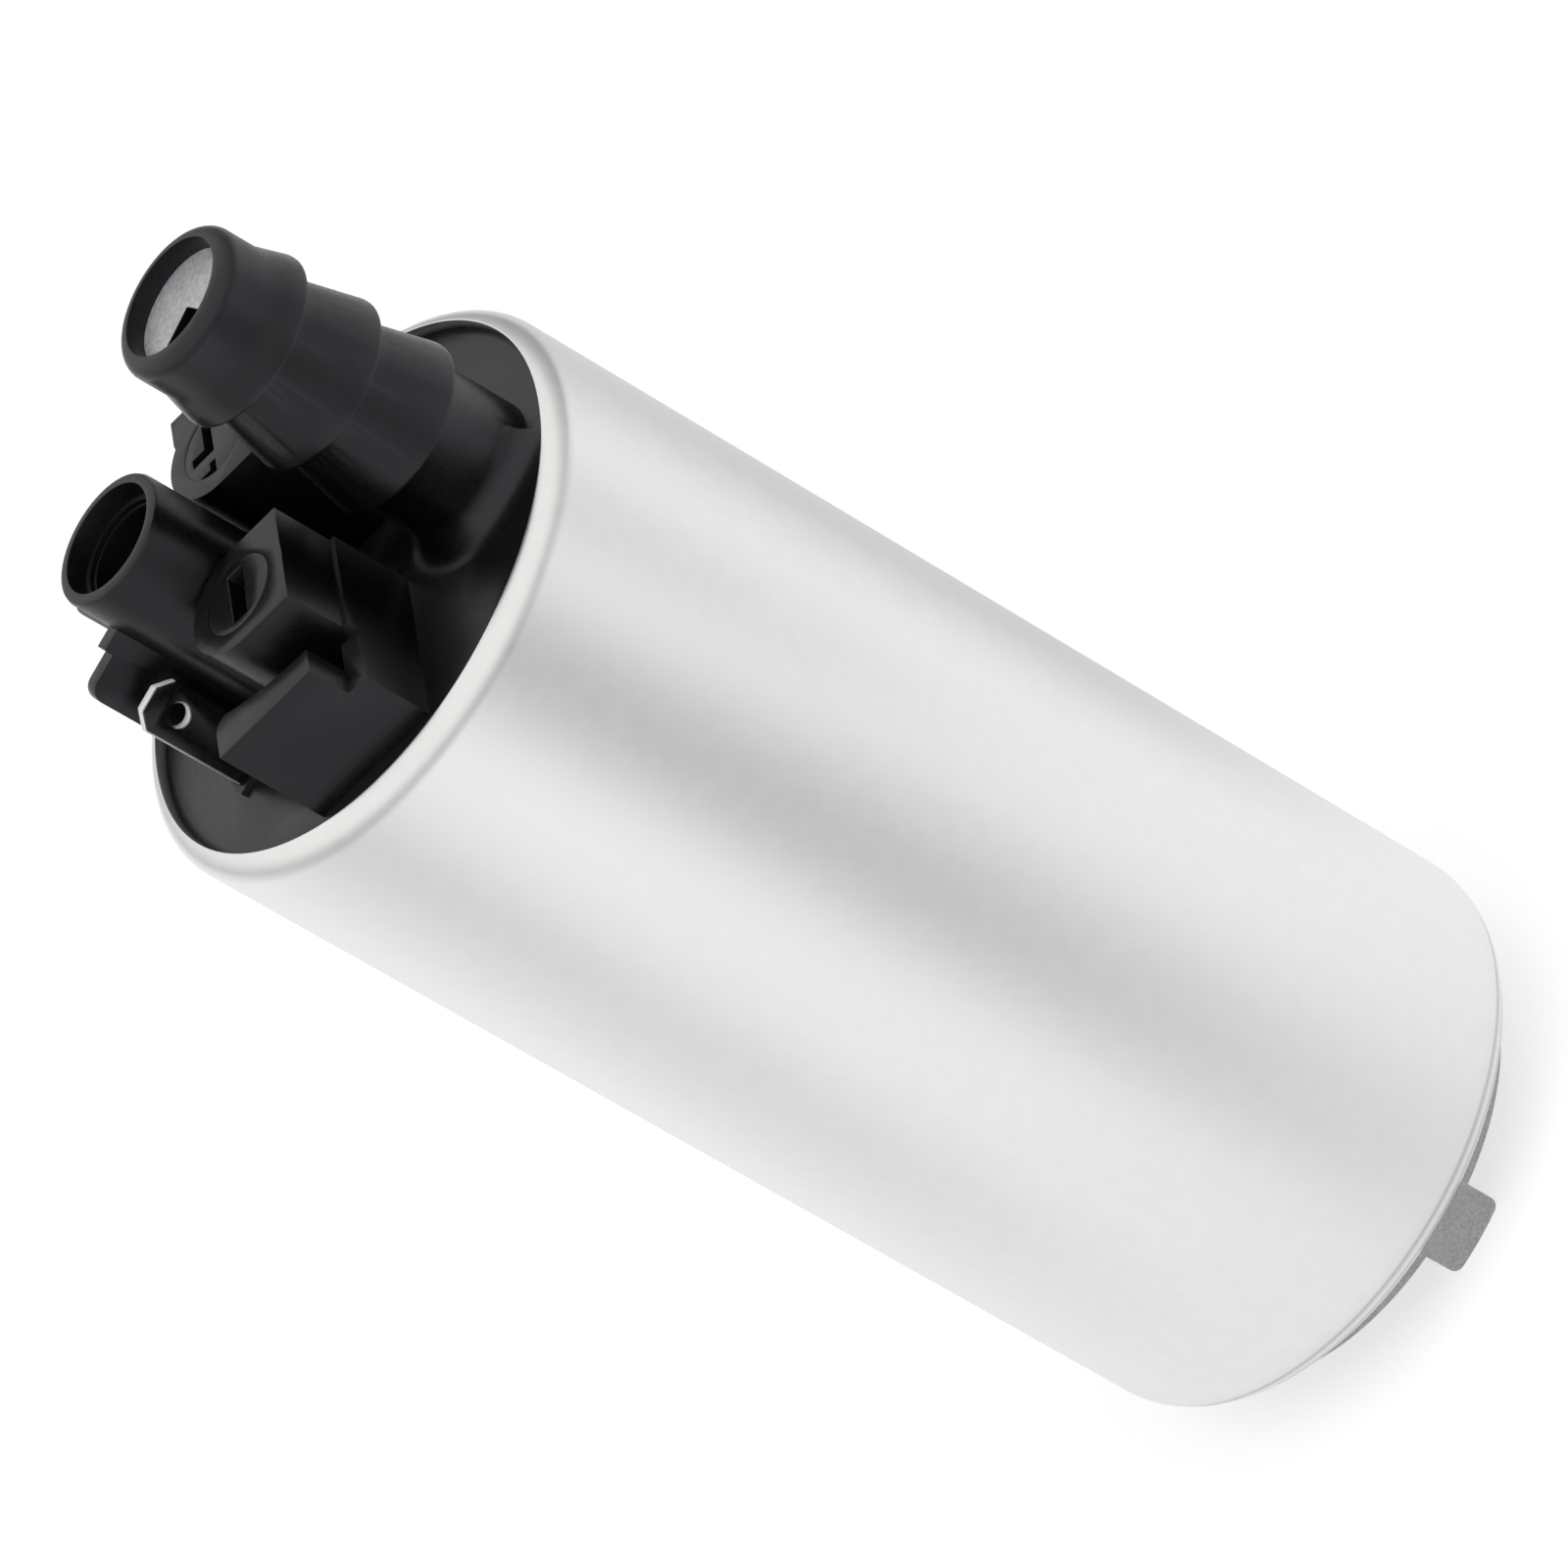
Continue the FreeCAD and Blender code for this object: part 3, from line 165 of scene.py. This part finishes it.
# Cards that only gloss shows. Each has its azimuth and its reach to either side of it in degrees, its
# depth, and where it sets in and where it is full. A card with a depth below zero is lighter
floorCards = {    # sets in and is full in mm from the pump's axis
    "nearCard": (0.0, 180.0, 180.0, 0.07, 110.0, 20.0),
    "footCard": (0.0, 180.0, 180.0, 0.10, 34.0, 20.0),
    "horizonCard": (0.0, 180.0, 180.0, 0.34, 190.0, 420.0),
    "darkCard": (40.0, 36.0, 52.0, 0.40, -20.0, 140.0),
    "leftCard": (-50.0, 62.0, 34.0, 0.17, 20.0, 110.0),
    "farCard": (96.0, 24.0, 26.0, 0.20, 115.0, 170.0),
    "rightCard": (165.0, 46.0, 50.0, 0.30, 20.0, 90.0),
    "farGlint": (62.0, 26.0, 26.0, -0.24, 148.0, 185.0),
    "leftGlint": (-2.0, 26.0, 24.0, -0.12, 148.0, 185.0),
    "farLeftCard": (-48.0, 22.0, 22.0, 0.10, 145.0, 185.0),
}
skyCards = {    # sets in and is full at the sine of the height over the horizon
    "sideCard": (178.0, 90.0, 58.0, 0.45, 0.56, 0.42),
}
lamps = {    # azimuth and elevation in degrees, distance, width and height in m, watts
    "overheadBox": (100.0, 68.0, 0.75, 0.70, 0.70, 2.0),
    "sideBox": (215.0, 30.0, 0.80, 0.50, 0.60, 1.0),
}


def makeLamps():
    middle = Matrix.Translation((0, 0, studio["lampAim"] * mm))
    for name, (azimuth, elevation, distance, width, height, watts) in lamps.items():
        data = bpy.data.lights.new(name, "AREA")
        data.shape = "RECTANGLE"
        data.size = width
        data.size_y = height
        data.energy = watts
        lamp = bpy.data.objects.new(name, data)
        lamp.visible_glossy = False
        bpy.context.scene.collection.objects.link(lamp)
        lamp.matrix_world = middle @ turnedTo(azimuth, elevation) @ Matrix.Translation((0, 0, distance))


def behindCards(nodes, links, cards, angle, reach, shine):
    for azimuth, before, after, depth, start, full in cards.values():
        off = mathNode(nodes, links, "SUBTRACT", angle, math.radians(azimuth))
        off = mathNode(nodes, links, "WRAP", off, math.pi, -math.pi)
        rise = smoothRange(nodes, links, off, -math.radians(before), 0.0, 0.0, 1.0)
        fall = smoothRange(nodes, links, off, 0.0, math.radians(after), 1.0, 0.0)
        level = smoothRange(nodes, links, reach, start, full, 0.0, depth)
        around = mathNode(nodes, links, "MULTIPLY", rise, fall)
        shade = mathNode(nodes, links, "MULTIPLY", around, level)
        kept = mathNode(nodes, links, "SUBTRACT", 1.0, shade)
        shine = mathNode(nodes, links, "MULTIPLY", kept, shine)
    return shine


def makeWorld():
    # White for the camera, a plain level for matt surfaces, and a darker horizon in gloss
    world = bpy.data.worlds.new("studioWorld")
    bpy.context.scene.world = world
    world.use_nodes = True
    nodes, links = world.node_tree.nodes, world.node_tree.links
    background = nodes["Background"]
    path = nodes.new("ShaderNodeLightPath")
    place = nodes.new("ShaderNodeTexCoord")
    split = nodes.new("ShaderNodeSeparateXYZ")
    links.new(place.outputs["Generated"], split.inputs[0])
    height = mathNode(nodes, links, "ABSOLUTE", split.outputs["Z"])
    shine = smoothRange(nodes, links, height, 0.0, studio["horizonHeight"],
                        studio["horizonShine"], studio["zenithShine"])
    angle = mathNode(nodes, links, "ARCTAN2", split.outputs["Y"], split.outputs["X"])
    shine = behindCards(nodes, links, skyCards, angle, height, shine)
    gloss = mixNumber(nodes, links, path.outputs["Is Glossy Ray"], studio["softLevel"], shine)
    seen = mixNumber(nodes, links, path.outputs["Is Camera Ray"], gloss, 1.0)
    links.new(seen, background.inputs["Strength"])
    tint = mixColour(nodes, links, path.outputs["Is Glossy Ray"], (1.0, 1.0, 1.0), studio["skyTint"])
    links.new(tint, background.inputs["Color"])


def floorShine(nodes, links):
    place = nodes.new("ShaderNodeTexCoord")
    split = nodes.new("ShaderNodeSeparateXYZ")
    links.new(place.outputs["Object"], split.inputs[0])
    angle = mathNode(nodes, links, "ARCTAN2", split.outputs["Y"], split.outputs["X"])
    length = nodes.new("ShaderNodeVectorMath")
    length.operation = "LENGTH"
    links.new(place.outputs["Object"], length.inputs[0])
    distance = mathNode(nodes, links, "DIVIDE", length.outputs["Value"], mm)
    return behindCards(nodes, links, floorCards, angle, distance, studio["floorShine"])


def makeFloorPaint():
    # The camera sees near white with the pump's shadow kept, gloss sees the cards, and from below the
    # floor is clear, so that the underside can be looked at
    paint = bpy.data.materials.new("floorPaint")
    paint.use_nodes = True
    nodes, links = paint.node_tree.nodes, paint.node_tree.links
    nodes.clear()
    output = nodes.new("ShaderNodeOutputMaterial")
    path = nodes.new("ShaderNodeLightPath")
    side = nodes.new("ShaderNodeNewGeometry")
    diffuse = nodes.new("ShaderNodeBsdfDiffuse")
    diffuse.inputs["Color"].default_value = (*[studio["floorColour"]] * 3, 1)
    glow = nodes.new("ShaderNodeEmission")
    glow.inputs["Strength"].default_value = studio["floorGlow"]
    glowing = nodes.new("ShaderNodeAddShader")
    links.new(diffuse.outputs[0], glowing.inputs[0])
    links.new(glow.outputs[0], glowing.inputs[1])
    mirrored = nodes.new("ShaderNodeEmission")
    links.new(floorShine(nodes, links), mirrored.inputs["Strength"])
    clear = nodes.new("ShaderNodeBsdfTransparent")
    seen = mixShader(nodes, links, path.outputs["Is Camera Ray"], diffuse.outputs[0], glowing.outputs[0])
    seen = mixShader(nodes, links, path.outputs["Is Glossy Ray"], seen, mirrored.outputs[0])
    seen = mixShader(nodes, links, side.outputs["Backfacing"], seen, clear.outputs[0])
    links.new(seen, output.inputs["Surface"])
    return paint


def makeFloor():
    bm = bmesh.new()
    bmesh.ops.create_grid(bm, x_segments=1, y_segments=1, size=studio["floorSize"] / 2)
    bmesh.ops.translate(bm, verts=bm.verts, vec=(0, 0, -studio["floorGap"] * mm))
    mesh = bpy.data.meshes.new("studioFloor")
    bm.to_mesh(mesh)
    bm.free()
    mesh.materials.append(makeFloorPaint())
    floor = bpy.data.objects.new("studioFloor", mesh)
    bpy.context.scene.collection.objects.link(floor)


# Finishes, one for each material slot of the record. The grain's mask goes from dark to light and through
# the range of roughness, and grain is its scale. What a piece marks takes the marked colour: a painted
# highlight on the rims of the terminal blades, and painted shade inside the retainer's window and along the
# can's rolled lines
finishes = {
    # The marked colour is painted shade along the rolled lines of the lower corner
    "can": {"dark": (0.855, 0.853, 0.860), "light": (0.885, 0.883, 0.890), "metal": 1.0,
            "rough": (0.28, 0.32), "grain": 9000.0, "mottle": 0.65, "bump": 0.002,
            "marked": (0.56, 0.56, 0.565)},
    "black_plastic": {"dark": (0.0010, 0.0009, 0.0012), "light": (0.0022, 0.0020, 0.0026), "metal": 0.0,
                      "rough": (0.28, 0.38), "grain": 4200.0, "mottle": 0.25, "bump": 0.020,
                      "gloss": (0.92, 0.915, 1.0), "shine": 0.57},
    "casting": {"dark": (0.44, 0.435, 0.445), "light": (0.66, 0.655, 0.67), "metal": 0.35,
                "rough": (0.48, 0.66), "grain": 4200.0, "mottle": 0.30, "bump": 0.20},
    # Painted reflection: the tin-plated blades are coloured near black and not metal, for the dark
    # surroundings that plated metal reflects, and their marked colour is a painted highlight on the rims
    "tin_plate": {"dark": (0.003, 0.003, 0.003), "light": (0.006, 0.006, 0.006), "metal": 0.0,
                  "rough": (0.30, 0.42), "grain": 3000.0, "mottle": 0.30, "bump": 0.02,
                  "marked": (0.86, 0.86, 0.86)},
    # The marked colour is painted shade inside the retainer's window
    "white_plastic": {"dark": (0.34, 0.34, 0.35), "light": (0.50, 0.50, 0.515), "metal": 0.0,
                      "rough": (0.30, 0.42), "grain": 2600.0, "mottle": 0.20, "bump": 0.03,
                      "marked": (0.006, 0.006, 0.006)},
    "steel": {"dark": (0.42, 0.42, 0.43), "light": (0.60, 0.60, 0.61), "metal": 1.0,
              "rough": (0.20, 0.34), "grain": 1800.0, "mottle": 0.40, "bump": 0.03},
    "lamination": {"dark": (0.22, 0.22, 0.23), "light": (0.42, 0.42, 0.44), "metal": 1.0,
                   "rough": (0.35, 0.50), "grain": 1500.0, "mottle": 0.40, "bump": 0.08},
    "copper": {"dark": (0.52, 0.20, 0.09), "light": (0.80, 0.38, 0.20), "metal": 1.0,
               "rough": (0.22, 0.36), "grain": 1400.0, "mottle": 0.40, "bump": 0.05},
    "bronze": {"dark": (0.38, 0.25, 0.12), "light": (0.56, 0.40, 0.22), "metal": 1.0,
               "rough": (0.40, 0.55), "grain": 2000.0, "mottle": 0.40, "bump": 0.10},
    "ferrite": {"dark": (0.040, 0.040, 0.044), "light": (0.085, 0.085, 0.092), "metal": 0.0,
                "rough": (0.50, 0.66), "grain": 1300.0, "mottle": 0.40, "bump": 0.10},
    "carbon": {"dark": (0.018, 0.018, 0.020), "light": (0.050, 0.050, 0.054), "metal": 0.2,
               "rough": (0.36, 0.52), "grain": 1600.0, "mottle": 0.40, "bump": 0.08},
    "phenolic": {"dark": (0.055, 0.030, 0.016), "light": (0.11, 0.062, 0.034), "metal": 0.0,
                 "rough": (0.34, 0.48), "grain": 1000.0, "mottle": 0.40, "bump": 0.05},
    "rubber": {"dark": (0.012, 0.012, 0.012), "light": (0.026, 0.026, 0.026), "metal": 0.0,
               "rough": (0.55, 0.70), "grain": 1100.0, "mottle": 0.40, "bump": 0.06},
}
plainGloss = {"gloss": (1.0, 1.0, 1.0), "shine": 0.5}    # tint and level of the highlight
grainLook = {
    "fineDetail": 3.0,
    "slowDetail": 2.0,
    "slowShare": 0.07,        # scale of the slow mottle against the fine grain
    "spread": (0.36, 0.64),   # of the noise, drawn out to the whole mask
    "bumpDepth": 0.1,         # mm
}
finishOf = {}
markName = "marked"


def noise(nodes, links, place, scale, detail):
    node = nodes.new("ShaderNodeTexNoise")
    node.inputs["Detail"].default_value = detail
    links.new(place.outputs["Object"], node.inputs["Vector"])
    links.new(scale, node.inputs["Scale"])
    return node.outputs[0]


def makeGrainGroup():
    # Fine grain over the surface, with a slow mottle under it
    group = bpy.data.node_groups.new("surfaceGrain", "ShaderNodeTree")
    for name in ("Scale", "Mottle"):
        group.interface.new_socket(name, in_out="INPUT", socket_type="NodeSocketFloat")
    for name in ("Mask", "Height"):
        group.interface.new_socket(name, in_out="OUTPUT", socket_type="NodeSocketFloat")
    nodes, links = group.nodes, group.links
    source = nodes.new("NodeGroupInput")
    result = nodes.new("NodeGroupOutput")
    place = nodes.new("ShaderNodeTexCoord")
    slowScale = mathNode(nodes, links, "MULTIPLY", source.outputs["Scale"], grainLook["slowShare"])
    fine = noise(nodes, links, place, source.outputs["Scale"], grainLook["fineDetail"])
    slow = noise(nodes, links, place, slowScale, grainLook["slowDetail"])
    both = mixNumber(nodes, links, source.outputs["Mottle"], fine, slow)
    low, high = grainLook["spread"]
    mask = rangeNode(nodes, links, both, low=low, high=high)
    links.new(mask.outputs["Result"], result.inputs["Mask"])
    links.new(fine, result.inputs["Height"])
    return group


def makeFinish(slot, grainGroup):
    look = {**plainGloss, **finishes[slot]}
    material = bpy.data.materials.new(slot + "Finish")
    material.use_nodes = True
    nodes, links = material.node_tree.nodes, material.node_tree.links
    shader = nodes["Principled BSDF"]
    shader.inputs["Metallic"].default_value = look["metal"]
    shader.inputs["Specular Tint"].default_value = (*look["gloss"], 1)
    shader.inputs["Specular IOR Level"].default_value = look["shine"]
    grain = nodes.new("ShaderNodeGroup")
    grain.node_tree = grainGroup
    grain.inputs["Scale"].default_value = look["grain"]
    grain.inputs["Mottle"].default_value = look["mottle"]
    colour = mixColour(nodes, links, grain.outputs["Mask"], look["dark"], look["light"])
    if "marked" in look:
        mark = nodes.new("ShaderNodeAttribute")
        mark.attribute_name = markName
        colour = mixColour(nodes, links, mark.outputs["Fac"], colour, look["marked"])
    links.new(colour, shader.inputs["Base Color"])
    smoothest, roughest = look["rough"]
    rough = rangeNode(nodes, links, grain.outputs["Mask"], atLow=smoothest, atHigh=roughest)
    links.new(rough.outputs["Result"], shader.inputs["Roughness"])
    bump = nodes.new("ShaderNodeBump")
    bump.inputs["Strength"].default_value = look["bump"]
    bump.inputs["Distance"].default_value = grainLook["bumpDepth"] * mm
    links.new(grain.outputs["Height"], bump.inputs["Height"])
    links.new(bump.outputs["Normal"], shader.inputs["Normal"])
    return material


# Pieces
softEdges = {    # mm that each piece's sharp edges are rounded by
    "end_cover": 0.06,
    "inlet_cover": 0.20,
    "brush_cap_a": 0.05,
    "brush_cap_b": 0.05,
    "terminal_a": 0.28,
    "terminal_b": 0.28,
    "valve_retainer": 0.06,
    "relief_retainer": 0.10,
    "impeller": 0.06,
    "armature_core": 0.06,
    "winding": 0.30,
    "commutator_segments": 0.06,
    "commutator_hub": 0.10,
    "brush_a": 0.15,
    "brush_b": 0.15,
}
edge = {
    "sharp": 32.0,    # degrees, from where an edge is rounded or shaded sharp
    "flat": 0.5,      # degrees, up to where faces are joined first
    "steps": 2,
}
mergeReach = 0.002 * mm

# Painted highlight: the rims of the terminal blades are painted bright near the tip, standing in for the
# light surroundings that they reflect
bladeHighlight = {
    "facing": 0.25,    # how far up or outwards a face looks where the painted highlight starts, and its span
    "facingSpan": 0.3,
    "bright": 3.4,     # mm down from the tip that are painted bright, and mm over which that fades
    "fade": 2.2,
}
# Painted shade: the window's walls in the white retainer are coloured near black where shade falls inside
# it
windowShade = {
    "upright": 0.5,    # highest slope of a wall, as its normal's height
    "reach": 0.9,      # share of the retainer's radius
}


def clamp(share):
    return min(1.0, max(0.0, share))


def bladePaintedHighlight(spot, normal, node):
    # Painted highlight: the rim of a terminal blade where it looks up or outwards is painted bright from
    # the tip down
    low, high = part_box(node)
    outward = Vector(((low.x + high.x) / 2, (low.y + high.y) / 2, 0)).normalized()
    facing = max(normal.z, normal.dot(outward))
    onRim = clamp((facing - bladeHighlight["facing"]) / bladeHighlight["facingSpan"])
    tipShare = clamp(1 - (high.z - bladeHighlight["bright"] * mm - spot.z) / (bladeHighlight["fade"] * mm))
    return onRim * tipShare


def paintedWindowShade(spot, normal, node):
    # Painted shade on the upright walls of the window and on what shows through it, not on the retainer's
    # own rim
    low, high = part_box(node)
    centre = (low + high) / 2
    fromAxis = math.hypot(spot.x - centre.x, spot.y - centre.y)
    inside = fromAxis < windowShade["reach"] * (high.x - low.x) / 2
    return float(inside and abs(normal.z) < windowShade["upright"])


# Painted highlight on the blades' rims, painted shade in the retainer's window
marks = {"terminal_a": bladePaintedHighlight, "terminal_b": bladePaintedHighlight, "valve_retainer": paintedWindowShade}


def markLoops(bm, level):
    # level gives how far a corner of a face takes the finish's marked colour
    bm.normal_update()
    layer = bm.loops.layers.float_color.new(markName)
    for face in bm.faces:
        for loop in face.loops:
            share = level(loop.vert.co, face.normal)
            loop[layer] = (share, share, share, 1.0)


def mergedCopy(node):
    bm = bmesh.new()
    bm.from_mesh(frame["nodes"][node].data)
    bmesh.ops.remove_doubles(bm, verts=bm.verts, dist=mergeReach)
    return bm


def makePiece(bm, name, node):
    # Stands for the node, on its body and in its finish
    mesh = bpy.data.meshes.new(name)
    bm.to_mesh(mesh)
    bm.free()
    mesh.shade_smooth()
    mesh.set_sharp_from_angle(angle=math.radians(edge["sharp"]))
    piece = bpy.data.objects.new(name, mesh)
    bpy.context.scene.collection.objects.link(piece)
    slot = slotOfNode[node]
    mesh.materials.append(finishOf[slot])
    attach(piece, bodyOfNode[node])
    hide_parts(node)
    return piece


def pressSpring(node):
    # A merged copy of a spring or lead, in its own mesh, on its body and in its finish
    piece = makePiece(mergedCopy(node), node + "_pressed", node)
    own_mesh(piece)


def softenNode(node, radius):
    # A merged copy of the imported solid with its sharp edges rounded
    bm = mergedCopy(node)
    bmesh.ops.dissolve_limit(bm, angle_limit=math.radians(edge["flat"]), verts=bm.verts, edges=bm.edges)
    limit = math.radians(edge["sharp"])
    sharp = [e for e in bm.edges if e.is_manifold and e.calc_face_angle() > limit]
    bmesh.ops.bevel(bm, geom=sharp, offset=radius * mm, segments=edge["steps"], profile=0.5,
                    affect="EDGES", material=-1, clamp_overlap=True)
    if node in marks:
        markLoops(bm, lambda spot, normal: marks[node](spot, normal, node))
    makePiece(bm, node + "_finished", node)


canShape = {    # mm
    "outerR": 21.5,
    "shoulderR": 2.0,
    "cornerR": 3.5,
    "openingR": 19.95,
    "footR": 17.8,
    "footLedge": 0.2,
    "wall": 1.0,
    "lipRound": 0.25,
    "segments": 192,
    "cornerSteps": 36,
    "shoulderSteps": 14,
    "lipSteps": 3,
    # Faint lines rolled into the lower corner: height, depth, half width and painted shade
    "swages": ((6.85, 0.06, 0.34, 1.00), (5.92, 0.03, 0.30, 0.90)),
}


def roundCorner(bm, corner, radius, steps):
    bmesh.ops.bevel(bm, geom=[corner], offset=radius * mm, segments=steps, profile=0.5, affect="VERTICES",
                    material=-1)


def rollShoulder(bm, start, shape):
    # The wall turns inwards on an arc that the opening cuts short, and the last point is the lip
    reach = shape["outerR"] - shape["shoulderR"]
    centre = Vector((reach * mm, 0, start.co.z))
    turn = math.acos((shape["openingR"] - reach) / shape["shoulderR"])
    made = bmesh.ops.spin(bm, geom=[start], cent=centre, axis=(0, -1, 0), dvec=(0, 0, 0), angle=turn,
                          steps=shape["shoulderSteps"])
    return next(item for item in made["geom_last"] if isinstance(item, bmesh.types.BMVert))


def pressSwage(bm, centre, height, depth):
    # The point of the rolled corner that is nearest to the line's height goes in
    corner = [v for v in bm.verts if v.co.x > centre.x + mergeReach and v.co.z < centre.z - mergeReach]
    nearest = min(corner, key=lambda v: abs(v.co.z - height * mm))
    nearest.co += (centre - nearest.co).normalized() * depth * mm


def spinOutline(bm, segments):
    bmesh.ops.spin(bm, geom=bm.verts[:] + bm.edges[:], cent=(0, 0, 0), axis=(0, 0, 1), dvec=(0, 0, 0),
                   angle=2 * math.pi, steps=segments, use_merge=True)
    bmesh.ops.remove_doubles(bm, verts=bm.verts, dist=mergeReach)
    bmesh.ops.recalc_face_normals(bm, faces=bm.faces)


def makeCan():
    low, high = (corner.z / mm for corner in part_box("can"))
    shape = canShape
    centre = Vector((shape["outerR"] - shape["cornerR"], 0, low + shape["cornerR"])) * mm
    inner = shape["outerR"] - shape["wall"]
    outline = {    # radius and height, from the opening down the inside and up the outside
        "mouth": (shape["openingR"], high - shape["wall"]),
        "innerShoulder": (inner, high - shape["shoulderR"]),
        "innerCorner": (inner, low + shape["cornerR"]),
        "ledge": (shape["footR"] + shape["footLedge"], low + shape["wall"]),
        "footTop": (shape["footR"], low + shape["wall"]),
        "foot": (shape["footR"], low),
        "lowerCorner": (shape["outerR"], low),
        "shoulder": (shape["outerR"], high - shape["shoulderR"]),
    }
    bm = bmesh.new()
    verts = {name: bm.verts.new((r * mm, 0, z * mm)) for name, (r, z) in outline.items()}
    chain = list(verts.values())
    for first, second in zip(chain, chain[1:]):
        bm.edges.new((first, second))
    lip = rollShoulder(bm, verts["shoulder"], shape)
    bm.edges.new((lip, verts["mouth"]))
    roundCorner(bm, verts["lowerCorner"], shape["cornerR"], shape["cornerSteps"])
    roundCorner(bm, lip, shape["lipRound"], shape["lipSteps"])
    for height, depth, width, shade in shape["swages"]:
        pressSwage(bm, centre, height, depth)
    spinOutline(bm, shape["segments"])

    def paintedSwageShade(spot, normal):
        # Painted shade, darker along each line, on the outside of the lower corner only
        if math.hypot(spot.x, spot.y) < centre.x + mergeReach or normal.z > 0:
            return 0.0
        return max(shade * max(0.0, 1 - abs(spot.z / mm - height) / width)
                   for height, depth, width, shade in shape["swages"])

    markLoops(bm, paintedSwageShade)
    makePiece(bm, "can_shell", "can")


makeCamera()
makeWorld()
makeLamps()
makeFloor()
print("studio ready")

grainGroup = makeGrainGroup()
for slot in finishes:
    finishOf[slot] = makeFinish(slot, grainGroup)
for node, piece in frame["nodes"].items():
    for place in piece.material_slots:
        place.material = finishOf[slotOfNode[node]]
print("finishes ready")

makeCan()
for node, radius in softEdges.items():
    softenNode(node, radius)
for joint in record["behaviour"]["joints"]:
    for row in joint.get("deforming_nodes", []):
        pressSpring(row["node"])
print("pieces ready")

bpy.context.scene.view_settings.view_transform = "Standard"
